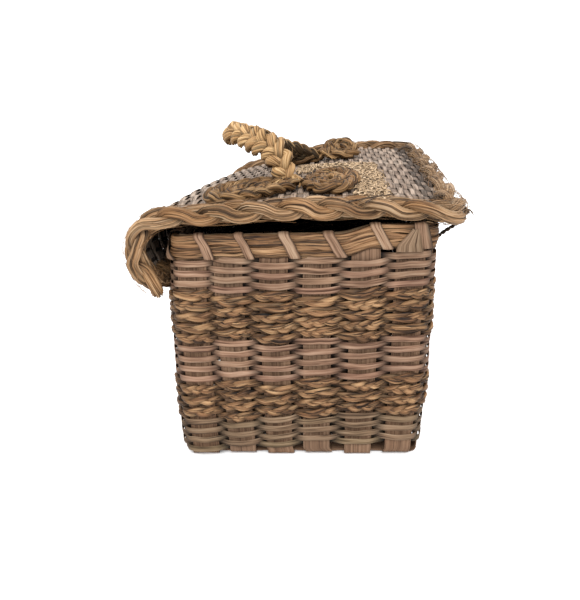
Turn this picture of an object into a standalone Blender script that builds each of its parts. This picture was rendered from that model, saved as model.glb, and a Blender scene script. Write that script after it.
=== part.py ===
"""Rectangular splint and grass sewing basket with a cord-hinged, overhanging lid.

Metres, +Z up. The origin is the middle of the base's underside, +Y runs along the basket's
length and +X points to the long side that the lid is tied to.
"""

import math

import bmesh
import bpy
from mathutils import Vector

# Wide splints: the base is plaited from them, and their ends turn up as the stakes of the walls
SPLINT_WIDTH = 0.0158
SPLINT_THICKNESS = 0.0008
END_PITCH = 0.0232
SIDE_PITCH = 0.023
LENGTHWISE_COUNT = 6
CROSSWISE_COUNT = 11
SPLINT_BEND = 0.003
CORNER_RADIUS = 0.0043
CLEARANCE = 0.0003

# Woven walls: bands of narrow splint weavers and of grass braids, counted from the base up
SPLINT_ROW = 0.0031
GRASS_ROW = 0.0034
BOTTOM_ROWS = 7
LOWER_GRASS_ROWS = 7
MIDDLE_ROWS = 8
UPPER_GRASS_ROWS = 9
TOP_ROWS = 7
WALL_START = 0.0048
STAKE_GAP = 0.0005
WEAVER_THICKNESS = 0.0006
SPLINT_SWELL = 0.0014
GRASS_SWELL = 0.0020

# Rim: a hoop inside the stakes and a grass bundle outside them, lashed round together
RIM_HEIGHT = 0.014
RIM_STANDOFF = 0.0009
HOOP_THICKNESS = 0.0012
HOOP_DROP = 0.0012
BUNDLE_THICKNESS = 0.0035
BUNDLE_ROUNDING = 0.0012
RIM_LIFT = 0.0045
LIFT_START = 0.018
LIFT_END = 0.040
LASHING_WIDTH = 0.005
LASHING_THICKNESS = 0.0004
LASHING_SLANT = 0.0075
STRAIGHT_COSINE_SHARE = 0.95
LASHING_CORNER_STEPS = 6
LASHING_WIDTH_STEPS = 4

# Lid: its woven panel lies crowned over the rim and curls down past the side away from the hinge
LID_RISE = 0.0132
LID_END_OVERHANG = 0.0045
LID_HINGE_OVERHANG = 0.0188
LID_CROWN = 0.005
CROWN_START = 0.020
NEAR_OVERHANG = 0.0233
FAR_OVERHANG = 0.0148
FLAP_DROP = 0.037
NEAR_CURL = 0.022
FAR_CURL = 0.0335
NEAR_CURL_ANGLE = math.radians(112)
FAR_CURL_ANGLE = math.radians(88)
LID_WEAVER_COUNT = 56
LID_SPLINT_COUNT = 14
LID_SPLINT_MARGIN = 0.0196
LID_SPLINT_WIDTH = 0.012
LID_SKIN = 0.0006
LID_SWELL = 0.0012
LACING_GAP = 0.0042
PANEL_GAP = 0.0009

# Braids: half of each flattened section, and how far the lobes swing to either side
EDGE_BRAID_HALF_WIDTH = 0.0063
EDGE_BRAID_HALF_HEIGHT = 0.0043
EDGE_BRAID_SWING = 0.0012
EDGE_LOBE_PITCH = 0.023
EDGE_BRAID_RISE = 0.0005

# Handle: a braided loop sewn down at two feet, which climbs, leans over to one side and comes back.
# Its route's shares are of the reach aside, of the span between the feet and of the rise.
HANDLE_RADIUS = 0.0075
HANDLE_SPAN = 0.1146
HANDLE_REACH = 0.044
HANDLE_RISE = 0.0262
HANDLE_X = -0.0004
HANDLE_Y = -0.0098
HANDLE_TURN = math.radians(-7.8)
HANDLE_ROUTE_SHARES = (
    (0, -0.5, 0),
    (0.13, -0.476, 0.34),
    (0.28, -0.42, 0.66),
    (0.63, -0.318, 0.90),
    (1, -0.15, 1),
    (0.80, 0.08, 0.89),
    (0.53, 0.28, 0.56),
    (0.22, 0.434, 0.28),
    (0, 0.5, 0),
)
HANDLE_STRETCH_STEPS = 4
HANDLE_FOOT_SHARE = 0.5
HANDLE_SWELL_SHARE = 0.25
HANDLE_END_SHARES = ((0.95, 0.3), (0.6, 0.8))
BRAID_WAIST_SHARE = 0.9

# Ornament: a flat braided loop on either side of each foot of the handle
ORNAMENT_RADIUS = 0.0036
ORNAMENT_START = 0.0138
LEFT_LOOP_LENGTH = 0.040
LEFT_LOOP_WIDTH = 0.022
RIGHT_LOOP_LENGTH = 0.034
RIGHT_LOOP_WIDTH = 0.034
LEFT_LOOP_TURN = math.radians(14)
RIGHT_LOOP_TURN = math.radians(-8)

# Ties: two cords, each looped under the rim and over the lid's edge braid, round the hinge axis
TIE_RADIUS = 0.001
TIE_LOOP_RADIUS = 0.0114
HINGE_RISE = 0.0042
TIE_INSET = 0.0048
TIE_KNOT_RADIUS = 0.0023
TIE_ARC_START = math.radians(160)
TIE_ARC_END = math.radians(-52)
TIE_TURN_SHARE = 0.8
TIE_OVER_SHARE = 0.5
TIE_CROSSING = 0.0030

# Where the named pieces end up, worked out from the sizes above
HALF_WIDTH = (LENGTHWISE_COUNT - 1) / 2 * END_PITCH + SPLINT_WIDTH / 2 + CORNER_RADIUS
HALF_LENGTH = (CROSSWISE_COUNT - 1) / 2 * SIDE_PITCH + SPLINT_WIDTH / 2 + CORNER_RADIUS
HALF_SPLINT = SPLINT_THICKNESS / 2
SPLINT_ROWS = BOTTOM_ROWS + MIDDLE_ROWS + TOP_ROWS
GRASS_ROWS = LOWER_GRASS_ROWS + UPPER_GRASS_ROWS
WALL_TOP = WALL_START + SPLINT_ROWS * SPLINT_ROW + GRASS_ROWS * GRASS_ROW
RIM_BOTTOM = WALL_TOP + RIM_STANDOFF
RIM_TOP = RIM_BOTTOM + RIM_HEIGHT
BUNDLE_INSIDE = HALF_SPLINT + CLEARANCE
BUNDLE_OUTSIDE = BUNDLE_INSIDE + BUNDLE_THICKNESS
HOOP_OUTSIDE = -HALF_SPLINT - CLEARANCE
HOOP_INSIDE = HOOP_OUTSIDE - HOOP_THICKNESS
LID_HEIGHT = RIM_TOP + LID_RISE
LID_RIGHT = HALF_WIDTH + LID_HINGE_OVERHANG
LID_WIDTH = LID_RIGHT + HALF_WIDTH + NEAR_OVERHANG + FLAP_DROP
LID_HALF_LENGTH = HALF_LENGTH + LID_END_OVERHANG
LID_LENGTH = 2 * LID_HALF_LENGTH
LID_SPLINT_PITCH = (LID_LENGTH - 2 * LID_SPLINT_MARGIN) / (LID_SPLINT_COUNT - 1)
BRAID_INSET = EDGE_BRAID_HALF_WIDTH + EDGE_BRAID_SWING + PANEL_GAP
LID_CORNER = BRAID_INSET
LID_TOP = LID_HEIGHT + LID_SKIN + LID_SWELL
HANDLE_FOOT = HANDLE_RADIUS * HANDLE_FOOT_SHARE
HANDLE_HEIGHT = LID_TOP - LID_SWELL / 2 + CLEARANCE + HANDLE_FOOT
HINGE_HEIGHT = RIM_TOP + HINGE_RISE
TIE_Y = (CROSSWISE_COUNT / 2 - 1) * SIDE_PITCH
TIE_PLACES = {"near": -TIE_Y, "far": TIE_Y}

# Colours of the weathered ash splint, the grass and the cord
ASH_TAN = (0.42, 0.31, 0.21)
ASH_PINK = (0.45, 0.32, 0.25)
ASH_GREY = (0.40, 0.35, 0.28)
GRASS_BROWN = (0.36, 0.24, 0.11)
GRASS_STRAW = (0.52, 0.38, 0.19)
CORD_DARK = (0.10, 0.08, 0.06)


def material(name, colour, roughness):
    made = bpy.data.materials.new(name)
    made.use_nodes = True
    shader = made.node_tree.nodes["Principled BSDF"]
    shader.inputs["Base Color"].default_value = (*colour, 1)
    shader.inputs["Roughness"].default_value = roughness
    shader.inputs["Metallic"].default_value = 0
    made.diffuse_color = (*colour, 1)
    return made


def make_materials():
    return {
        "ash_tan": material("ash_tan", ASH_TAN, 0.7),
        "ash_pink": material("ash_pink", ASH_PINK, 0.7),
        "ash_grey": material("ash_grey", ASH_GREY, 0.75),
        "grass_brown": material("grass_brown", GRASS_BROWN, 0.65),
        "grass_straw": material("grass_straw", GRASS_STRAW, 0.6),
        "cord_dark": material("cord_dark", CORD_DARK, 0.8),
    }


def add_mesh(name, points, faces, finish):
    """An object from points and faces, with its faces turned outward."""
    mesh = bpy.data.meshes.new(name)
    bm = bmesh.new()
    made = [bm.verts.new(point) for point in points]
    for face in faces:
        bm.faces.new([made[index] for index in face])
    bmesh.ops.recalc_face_normals(bm, faces=bm.faces)
    bm.to_mesh(mesh)
    bm.free()
    mesh.materials.append(finish)
    made_object = bpy.data.objects.new(name, mesh)
    bpy.context.scene.collection.objects.link(made_object)
    return made_object


def add_tube(name, points, radii, depth, closed, finish, roundness=1):
    """A round tube as a curve, whose radius follows the radii given point by point."""
    curve = bpy.data.curves.new(name, "CURVE")
    curve.dimensions = "3D"
    curve.bevel_depth = depth
    curve.bevel_resolution = roundness
    curve.use_fill_caps = not closed
    spline = curve.splines.new("POLY")
    spline.points.add(len(points) - 1)
    for point, place, radius in zip(spline.points, points, radii):
        point.co = (*place, 1)
        point.radius = radius
    spline.use_cyclic_u = closed
    spline.use_smooth = True
    curve.materials.append(finish)
    made_object = bpy.data.objects.new(name, curve)
    bpy.context.scene.collection.objects.link(made_object)
    return made_object


def sweep(sections, closed):
    """Points and faces of a skin over equal sections; an open one is capped at its ends."""
    size = len(sections[0])
    points = [point for section in sections for point in section]
    count = len(sections)
    faces = []
    for index in range(count if closed else count - 1):
        here = index * size
        there = (index + 1) % count * size
        for side in range(size):
            turn = (side + 1) % size
            faces.append((here + side, here + turn, there + turn, there + side))
    if not closed:
        faces.append(tuple(range(size)))
        faces.append(tuple(range((count - 1) * size, count * size)))
    return points, faces


def split_low(faces, proud):
    """Each square cut in two along its less proud diagonal, so that proud corners stand alone."""
    cut = []
    for face in faces:
        if len(face) != 4:
            cut.append(face)
            continue
        first, second, third, fourth = face
        if proud[first] + proud[third] > proud[second] + proud[fourth]:
            first, second, third, fourth = second, third, fourth, first
        cut += [(first, second, third), (first, third, fourth)]
    return cut


def arc_angles(start, end, steps):
    return [start + (end - start) * step / steps for step in range(steps + 1)]


# The walls' plan is a rounded rectangle. Its distance runs round from the middle of the near end,
# towards +X first.

END_FLAT = 2 * (HALF_WIDTH - CORNER_RADIUS)
SIDE_FLAT = 2 * (HALF_LENGTH - CORNER_RADIUS)
CORNER_RUN = CORNER_RADIUS * math.pi / 2
AROUND = 2 * (END_FLAT + SIDE_FLAT) + 4 * CORNER_RUN


def wall_place(distance):
    """The point, the outward normal and the direction of travel at a distance round the walls."""
    left = distance % AROUND
    half_end = END_FLAT / 2
    stretches = [half_end, CORNER_RUN, SIDE_FLAT, CORNER_RUN]
    stretches += [END_FLAT, CORNER_RUN, SIDE_FLAT, CORNER_RUN, half_end]
    place = Vector((0, -HALF_LENGTH, 0))
    heading = 0.0
    for number, stretch in enumerate(stretches):
        straight = number % 2 == 0
        step = min(left, stretch)
        if straight:
            place += Vector((math.cos(heading), math.sin(heading), 0)) * step
        else:
            turned = heading + step / CORNER_RADIUS
            centre = place + Vector((-math.sin(heading), math.cos(heading), 0)) * CORNER_RADIUS
            place = centre + Vector((math.sin(turned), -math.cos(turned), 0)) * CORNER_RADIUS
            heading = turned
        left -= step
        if left <= 0:
            break
    travel = Vector((math.cos(heading), math.sin(heading), 0))
    outward = Vector((travel.y, -travel.x, 0))
    return place, outward, travel


def stake_distances():
    """Where each stake's middle lies round the walls, in order."""
    end = [(index - (LENGTHWISE_COUNT - 1) / 2) * END_PITCH for index in range(LENGTHWISE_COUNT)]
    side = [(index - (CROSSWISE_COUNT - 1) / 2) * SIDE_PITCH for index in range(CROSSWISE_COUNT)]
    half_turn = END_FLAT / 2 + CORNER_RUN + SIDE_FLAT / 2
    places = end + [half_turn + place for place in side]
    places += [2 * half_turn + place for place in end]
    places += [3 * half_turn + place for place in side]
    return sorted(place % AROUND for place in places)


def corner_distances(steps):
    """Distances across the four rounded corners, ends included."""
    found = []
    start = END_FLAT / 2
    for flat in (SIDE_FLAT, END_FLAT, SIDE_FLAT, END_FLAT):
        found += [start + CORNER_RUN * step / steps for step in range(steps + 1)]
        start += CORNER_RUN + flat
    return [distance % AROUND for distance in found]


def rim_lift(x):
    """The rim stands higher along the hinge side, up to which it climbs on the end walls."""
    climbed = (x - LIFT_START) / (LIFT_END - LIFT_START)
    return RIM_LIFT * min(max(climbed, 0), 1)


# Base and stakes


def splint_outline(half_span, level, left_top, right_top):
    """The U that a splint makes, seen edge on: across the base and up both walls."""
    lines = []
    for side in (HALF_SPLINT, -HALF_SPLINT):
        reach = half_span + side
        bend = SPLINT_BEND + side
        floor = level - side
        left = [(-reach, left_top)]
        right = [(reach, right_top)]
        for angle in arc_angles(0, math.pi / 2, 2):
            across = reach - bend + bend * math.cos(angle)
            up = floor + bend - bend * math.sin(angle)
            left.append((-across, up))
            right.append((across, up))
        lines.append(left + right[::-1])
    return lines[0] + lines[1][::-1]


def add_splint(name, outline, across_place, lengthwise, finish):
    points = []
    for side in (-1, 1):
        edge = across_place + side * SPLINT_WIDTH / 2
        for run, up in outline:
            points.append((edge, run, up) if lengthwise else (run, edge, up))
    size = len(outline)
    faces = [tuple(range(size)), tuple(range(size, 2 * size))]
    for index in range(size):
        turn = (index + 1) % size
        faces.append((index, turn, size + turn, size + index))
    add_mesh(name, points, faces, finish)


def add_base(finishes):
    """Crosswise splints lie lowest, the lengthwise ones on them, and all of them turn up as stakes."""
    stake_top = RIM_TOP - CLEARANCE
    for index in range(CROSSWISE_COUNT):
        place = (index - (CROSSWISE_COUNT - 1) / 2) * SIDE_PITCH
        outline = splint_outline(HALF_WIDTH, HALF_SPLINT, stake_top, stake_top + RIM_LIFT)
        add_splint(f"crosswise_splint_{index + 1:02d}", outline, place, False, finishes["ash_grey"])
    level = HALF_SPLINT + SPLINT_THICKNESS + CLEARANCE
    for index in range(LENGTHWISE_COUNT):
        place = (index - (LENGTHWISE_COUNT - 1) / 2) * END_PITCH
        top = stake_top + rim_lift(place - SPLINT_WIDTH / 2)
        outline = splint_outline(HALF_LENGTH, level, top, top)
        add_splint(f"lengthwise_splint_{index + 1:02d}", outline, place, True, finishes["ash_grey"])


# Woven walls


def wall_columns():
    """Each column of the woven skin: its distance, and +1 or -1 at a stake or 0 between stakes."""
    columns = [(distance, 1 if index % 2 else -1) for index, distance in enumerate(stake_distances())]
    columns += [(distance, 0) for distance in corner_distances(2)]
    return sorted(columns)


def add_band(name, bottom, rows, row_height, swell, first_row, finish):
    """One band of weavers: every row stands proud over each second stake and lies back between."""
    columns = wall_columns()
    top = bottom + rows * row_height - CLEARANCE
    inside = HALF_SPLINT + STAKE_GAP
    levels = [(bottom, 0)]
    levels += [(bottom + (row + 0.5) * row_height, -1 if (row + first_row) % 2 else 1) for row in range(rows)]
    levels.append((top, 0))
    sections = []
    bulges = []
    for distance, over in columns:
        place, outward, _ = wall_place(distance)
        section = []
        for height, turn in levels:
            proud = inside + WEAVER_THICKNESS + swell * (1 + over * turn) / 2
            section.append(place + outward * proud + Vector((0, 0, height)))
        section.append(place + outward * inside + Vector((0, 0, top)))
        section.append(place + outward * inside + Vector((0, 0, bottom)))
        sections.append(section)
        bulges += [over * turn for _, turn in levels] + [0, 0]
    points, faces = sweep(sections, True)
    add_mesh(name, points, split_low(faces, bulges), finish)


def add_walls(finishes):
    bands = [
        ("bottom_splint_weavers", BOTTOM_ROWS, SPLINT_ROW, SPLINT_SWELL, "ash_tan"),
        ("lower_grass_weavers", LOWER_GRASS_ROWS, GRASS_ROW, GRASS_SWELL, "grass_brown"),
        ("middle_splint_weavers", MIDDLE_ROWS, SPLINT_ROW, SPLINT_SWELL, "ash_pink"),
        ("upper_grass_weavers", UPPER_GRASS_ROWS, GRASS_ROW, GRASS_SWELL, "grass_brown"),
        ("top_splint_weavers", TOP_ROWS, SPLINT_ROW, SPLINT_SWELL, "ash_pink"),
    ]
    bottom = WALL_START
    row = 0
    for name, rows, row_height, swell, finish in bands:
        add_band(name, bottom, rows, row_height, swell, row, finishes[finish])
        bottom += rows * row_height
        row += rows


# Rim


def rim_columns():
    """Distances where the rim's sections stand: round the corners, and along the ends as they lift."""
    places = corner_distances(3)
    for end in (0, AROUND / 2):
        side = 1 if end == 0 else -1
        places += [(end + side * distance) % AROUND for distance in (LIFT_START, LIFT_END)]
    return sorted(places)


def add_ring(name, section, finish):
    """A hoop that follows the walls, from the (outward, height) points of its section."""
    sections = []
    for distance in rim_columns():
        place, outward, _ = wall_place(distance)
        lift = rim_lift(place.x)
        sections.append([place + outward * out + Vector((0, 0, up + lift)) for out, up in section])
    points, faces = sweep(sections, True)
    add_mesh(name, points, faces, finish)


def gap_distances():
    """The middle of each gap between two stakes, in order round the walls."""
    stakes = stake_distances()
    gaps = []
    for index, here in enumerate(stakes):
        there = stakes[(index + 1) % len(stakes)]
        if there < here:
            there += AROUND
        gaps.append((here + there) / 2)
    return gaps


def lashing_section(along, out, up, side, rise):
    """The splint's section where it turns: side and rise say which way its outer face looks."""
    section = []
    edges = [2 * step / LASHING_WIDTH_STEPS - 1 for step in range(LASHING_WIDTH_STEPS + 1)]
    for edge, face in [(edge, -1) for edge in edges] + [(edge, 1) for edge in edges[::-1]]:
        place, outward, _ = wall_place(along + edge * LASHING_WIDTH / 2)
        middle = place + outward * out + Vector((0, 0, up + rim_lift(place.x)))
        thick = (outward * side + Vector((0, 0, rise))) * (LASHING_THICKNESS / 2)
        section.append(middle + thick * face)
    return section


def add_lashing(finish):
    """One splint wound round hoop and bundle, which dips through the wall between each two stakes."""
    reach = CLEARANCE + LASHING_THICKNESS / 2
    outside = BUNDLE_OUTSIDE + reach
    inside = HOOP_INSIDE - reach
    top = RIM_TOP + reach
    bottom = RIM_BOTTOM - reach
    sections = []
    for distance in gap_distances()[::-1]:
        crossing = distance - LASHING_SLANT
        sections.append(lashing_section(distance, inside, bottom, -1, -1))
        sections.append(lashing_section(distance, outside, bottom, 1, -1))
        if wall_place(distance)[1].dot(wall_place(crossing)[1]) < STRAIGHT_COSINE_SHARE:
            for step in range(1, LASHING_CORNER_STEPS):
                share = step / LASHING_CORNER_STEPS
                along = distance - LASHING_SLANT * share
                up = bottom + (top - bottom) * share
                sections.append(lashing_section(along, outside, up, 1, 0))
        sections.append(lashing_section(crossing, outside, top, 1, 1))
        sections.append(lashing_section(crossing, inside, top, -1, 1))
    points, faces = sweep(sections, True)
    add_mesh("rim_lashing", points, faces, finish)


def add_rim(finishes):
    hoop_bottom = RIM_BOTTOM + HOOP_DROP
    hoop = [
        (HOOP_OUTSIDE, hoop_bottom),
        (HOOP_OUTSIDE, RIM_TOP),
        (HOOP_INSIDE, RIM_TOP),
        (HOOP_INSIDE, hoop_bottom),
    ]
    add_ring("inner_rim_hoop", hoop, finishes["ash_tan"])
    soft = BUNDLE_ROUNDING
    bundle = [
        (BUNDLE_INSIDE, RIM_BOTTOM),
        (BUNDLE_OUTSIDE - soft, RIM_BOTTOM),
        (BUNDLE_OUTSIDE, RIM_BOTTOM + soft),
        (BUNDLE_OUTSIDE, RIM_TOP - soft),
        (BUNDLE_OUTSIDE - soft, RIM_TOP),
        (BUNDLE_INSIDE, RIM_TOP),
    ]
    add_ring("outer_rim_bundle", bundle, finishes["ash_tan"])
    add_lashing(finishes["ash_pink"])


# Lid: a place on it is given by the distance across it from the hinge side, and by y


def curl_at(y):
    """Where the curl starts across the panel, its radius and its angle, which change along the lid."""
    share = (y + LID_HALF_LENGTH) / LID_LENGTH
    radius = NEAR_CURL + (FAR_CURL - NEAR_CURL) * share * share
    overhang = NEAR_OVERHANG + (FAR_OVERHANG - NEAR_OVERHANG) * share
    angle = NEAR_CURL_ANGLE + (FAR_CURL_ANGLE - NEAR_CURL_ANGLE) * share
    return LID_RIGHT + HALF_WIDTH + overhang - radius, radius, angle


def lid_place(across, y):
    """The point under the lid's skin, and the way out of the skin there."""
    flat, radius, full_angle = curl_at(y)
    if across <= flat:
        x = LID_RIGHT - across
        crown_share = max(x - CROWN_START, 0) / (LID_RIGHT - CROWN_START)
        slope = 2 * LID_CROWN * crown_share / (LID_RIGHT - CROWN_START)
        return Vector((x, y, LID_HEIGHT - LID_CROWN * crown_share**2)), Vector((slope, 0, 1)).normalized()
    angle = min((across - flat) / radius, full_angle)
    rest = across - flat - angle * radius
    sine = math.sin(angle)
    cosine = math.cos(angle)
    x = LID_RIGHT - flat - radius * sine - rest * cosine
    z = LID_HEIGHT - radius * (1 - cosine) - rest * sine
    return Vector((x, y, z)), Vector((-sine, 0, cosine))


def lid_acrosses(count):
    """Distances across the panel, from the gap that the ties pass through to the braid on the flap."""
    start = BRAID_INSET + LACING_GAP
    run = LID_WIDTH - BRAID_INSET - start
    return [start + run * step / count for step in range(count + 1)]


def lid_splint_places():
    return [(index - (LID_SPLINT_COUNT - 1) / 2) * LID_SPLINT_PITCH for index in range(LID_SPLINT_COUNT)]


def add_lid_weave(finish):
    """The woven panel: a thin sheet, proud where a weaver passes over a stake."""
    edge = LID_HALF_LENGTH - BRAID_INSET
    along = [-edge] + lid_splint_places() + [edge]
    acrosses = lid_acrosses(LID_WEAVER_COUNT)
    points = []
    bulges = []
    for number, across in enumerate(acrosses):
        for index, y in enumerate(along):
            place, out = lid_place(across, y)
            inner = 0 < index < len(along) - 1 and 0 < number < LID_WEAVER_COUNT
            over = (1 if (number + index) % 2 else -1) if inner else 0
            points.append(place + out * (LID_SKIN + LID_SWELL * (1 + over) / 2))
            bulges.append(over)
    top_row = len(along)
    under = [0, 3, 6, 9, 12, len(along) - 1]
    first_under = len(points)
    for across in acrosses:
        for index in under:
            points.append(lid_place(across, along[index])[0])
    under_row = len(under)
    faces = []
    for number in range(LID_WEAVER_COUNT):
        for index in range(top_row - 1):
            here = number * top_row + index
            square = (here, here + 1, here + top_row + 1, here + top_row)
            faces += split_low([square], bulges)
        for index in range(under_row - 1):
            here = first_under + number * under_row + index
            faces.append((here, here + under_row, here + under_row + 1, here + 1))
        for index, low in ((0, 0), (top_row - 1, under_row - 1)):
            here = number * top_row + index
            below = first_under + number * under_row + low
            faces.append((here, here + top_row, below + under_row, below))
    for number in (0, LID_WEAVER_COUNT):
        over_edge = [number * top_row + index for index in range(top_row)]
        under_edge = [first_under + number * under_row + index for index in range(under_row)]
        faces.append(tuple(over_edge + under_edge[::-1]))
    add_mesh("lid_weave", points, faces, finish)


def add_lid_splints(finish):
    """Wide splints across the lid, under its weavers, bent with the panel."""
    for index, y in enumerate(lid_splint_places()):
        flat, radius, full_angle = curl_at(y)
        curl = radius * full_angle
        start, end = BRAID_INSET, LID_WIDTH - BRAID_INSET
        crown = LID_RIGHT - CROWN_START
        acrosses = [start, crown / 2, crown, flat]
        acrosses += [flat + curl * step / 4 for step in range(1, 5)]
        if flat + curl < end - SPLINT_THICKNESS:
            acrosses.append(end)
        sections = []
        for across in acrosses:
            section = []
            for side, depth in ((-1, 2), (1, 2), (1, 1), (-1, 1)):
                place, out = lid_place(across, y)
                drop = STAKE_GAP + SPLINT_THICKNESS * (depth - 1)
                edge = Vector((0, side * LID_SPLINT_WIDTH / 2, 0))
                section.append(place + edge - out * drop)
            sections.append(section)
        points, faces = sweep(sections, False)
        add_mesh(f"lid_splint_{index + 1:02d}", points, faces, finish)


def lid_outline():
    """The edge braid's middle as (across, y) places: a rounded rectangle, from the near hinge corner."""
    far_across = LID_WIDTH - LID_CORNER
    far_y = LID_HALF_LENGTH - LID_CORNER
    corners = [
        (Vector((LID_CORNER, far_y)), math.pi),
        (Vector((far_across, far_y)), math.pi / 2),
        (Vector((far_across, -far_y)), 0),
        (Vector((LID_CORNER, -far_y)), -math.pi / 2),
    ]
    ends = []
    for centre, start in corners:
        angles = arc_angles(start, start - math.pi / 2, 2)
        ends.append([centre + Vector((math.cos(angle), math.sin(angle))) * LID_CORNER for angle in angles])
    places = []
    for number, corner in enumerate(ends):
        before = ends[number - 1][-1]
        side = corner[0] - before
        steps = 2 * round(side.length / EDGE_LOBE_PITCH) + 1
        places += [before + side * step / steps for step in range(1, steps)]
        places += corner
    return places


def add_edge_braid(finish):
    """The braid round the lid's edge: a flat rope whose lobes swing to either side in turn."""
    outline = lid_outline()
    sections = []
    for index, flat in enumerate(outline):
        ahead = outline[(index + 1) % len(outline)]
        behind = outline[index - 1]
        place, out = lid_place(*flat)
        travel = (ahead - flat).normalized() + (flat - behind).normalized()
        along = lid_place(*(flat + travel * CLEARANCE))[0] - place
        side = along.cross(out).normalized()
        swing = EDGE_BRAID_SWING * (1 if index % 2 else -1)
        middle = place + out * EDGE_BRAID_RISE + side * swing
        section = []
        for angle in arc_angles(0, math.tau, 8)[:-1]:
            width = EDGE_BRAID_HALF_WIDTH * math.cos(angle)
            height = EDGE_BRAID_HALF_HEIGHT * math.sin(angle)
            section.append(middle + side * width + out * height)
        sections.append(section)
    points, faces = sweep(sections, True)
    add_mesh("lid_edge_braid", points, faces, finish)


# Handle and ornament


def smooth_route(stops, steps):
    """Points of a smooth curve through the stops, with so many steps between each two of them."""
    ends = [stops[0] * 2 - stops[1], *stops, stops[-1] * 2 - stops[-2]]
    route = []
    for before, here, there, after in zip(ends, ends[1:], ends[2:], ends[3:]):
        for step in range(steps):
            share = step / steps
            slope = there - before
            bend = before * 2 - here * 5 + there * 4 - after
            twist = here * 3 - before - there * 3 + after
            route.append(here + (slope + (bend + twist * share) * share) * share / 2)
    route.append(stops[-1])
    return route


def add_handle(finish):
    """The loop from foot to foot: its radius grows from two round ends and swells at every lobe."""
    stops = [
        Vector((-aside * HANDLE_REACH, along * HANDLE_SPAN, up * HANDLE_RISE))
        for aside, along, up in HANDLE_ROUTE_SHARES
    ]
    points = smooth_route(stops, HANDLE_STRETCH_STEPS)
    radii = []
    for index in range(len(points)):
        at_end = min(index, len(points) - 1 - index)
        full = min(HANDLE_FOOT_SHARE + HANDLE_SWELL_SHARE * at_end / 2, 1)
        radii.append(full * (1 if index % 2 else BRAID_WAIST_SHARE))
    near_way = (points[0] - points[1]).normalized()
    far_way = (points[-1] - points[-2]).normalized()
    near_end = [points[0] + near_way * HANDLE_FOOT * reach for reach, _ in HANDLE_END_SHARES]
    far_end = [points[-1] + far_way * HANDLE_FOOT * reach for reach, _ in HANDLE_END_SHARES]
    round_end = [HANDLE_FOOT_SHARE * width for _, width in HANDLE_END_SHARES]
    points = near_end + points + far_end[::-1]
    radii = round_end + radii + round_end[::-1]
    handle = add_tube("handle_braid", points, radii, HANDLE_RADIUS, False, finish, 2)
    handle.location = (HANDLE_X, HANDLE_Y, HANDLE_HEIGHT)
    handle.rotation_euler = (0, 0, HANDLE_TURN)


def add_ornament(name, x_way, y_way, sizes, finish):
    """A pointed loop of thin braid, lying on the lid beside a foot of the handle."""
    length, width, turned = sizes
    count = 20
    lean = turned * y_way
    points = []
    radii = []
    for step in range(count):
        turn = math.tau * step / count
        aside = ORNAMENT_START + length * (1 - math.cos(turn)) / 2
        along = width * math.sin(turn) * math.sin(turn / 2)
        x = x_way * (aside * math.cos(lean) - along * math.sin(lean))
        y = aside * math.sin(lean) + along * math.cos(lean)
        points.append((x, y_way * HANDLE_SPAN / 2 + y, 0))
        radii.append(1 if step % 2 else BRAID_WAIST_SHARE)
    loop = add_tube(name, points, radii, ORNAMENT_RADIUS, True, finish)
    loop.location = (HANDLE_X, HANDLE_Y, LID_TOP + CLEARANCE + ORNAMENT_RADIUS)
    loop.rotation_euler = (0, 0, HANDLE_TURN)


def add_handle_group(finishes):
    add_handle(finishes["grass_straw"])
    left = (LEFT_LOOP_LENGTH, LEFT_LOOP_WIDTH, LEFT_LOOP_TURN)
    right = (RIGHT_LOOP_LENGTH, RIGHT_LOOP_WIDTH, RIGHT_LOOP_TURN)
    for foot, y_way in (("near", -1), ("far", 1)):
        add_ornament(f"{foot}_left_ornament", -1, y_way, left, finishes["grass_brown"])
        add_ornament(f"{foot}_right_ornament", 1, y_way, right, finishes["grass_brown"])


# Ties


def tie_route():
    """The cord's loop as (x, z), from the knot round: under the rim, up inside, and over the braid."""
    hinge = Vector((LID_RIGHT, HINGE_HEIGHT))
    rim_out = HALF_WIDTH + BUNDLE_OUTSIDE
    rim_in = HALF_WIDTH + HOOP_INSIDE
    passage = (WALL_TOP + RIM_BOTTOM + RIM_LIFT - TIE_RADIUS) / 2
    rim_top = RIM_TOP + RIM_LIFT
    route = [
        Vector((rim_out + 2 * TIE_INSET, passage + TIE_INSET)),
        Vector((rim_out + TIE_INSET, passage)),
        Vector((rim_out, passage - TIE_RADIUS / 2)),
        Vector((HALF_WIDTH, passage - TIE_RADIUS / 2)),
        Vector((rim_in, passage)),
        Vector((rim_in - TIE_INSET * TIE_TURN_SHARE, passage + TIE_INSET)),
        Vector((rim_in - TIE_INSET, (passage + rim_top) / 2)),
        Vector((rim_in - TIE_INSET, rim_top - TIE_INSET)),
        Vector((rim_in - TIE_INSET * TIE_OVER_SHARE, rim_top + TIE_RADIUS)),
        Vector((rim_in + TIE_RADIUS, rim_top + TIE_CROSSING)),
    ]
    for angle in arc_angles(TIE_ARC_START, TIE_ARC_END, 14):
        route.append(hinge + Vector((math.cos(angle), math.sin(angle))) * TIE_LOOP_RADIUS)
    return route


def add_tie(name, y, finish):
    """A cord ring through the wall and round the braid, with its knot as a swelling on the outside."""
    route = tie_route()
    points = [(place.x, y, place.y) for place in route]
    radii = [TIE_KNOT_RADIUS / TIE_RADIUS] + [1] * (len(route) - 1)
    add_tube(name, points, radii, TIE_RADIUS, True, finish)


def main():
    for old in list(bpy.data.objects):
        bpy.data.objects.remove(old)
    finishes = make_materials()
    add_base(finishes)
    add_walls(finishes)
    add_rim(finishes)
    add_lid_splints(finishes["ash_grey"])
    add_lid_weave(finishes["ash_grey"])
    add_edge_braid(finishes["grass_brown"])
    add_handle_group(finishes)
    for name, y in TIE_PLACES.items():
        add_tie(f"{name}_hinge_tie", y, finishes["cord_dark"])


main()
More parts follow.
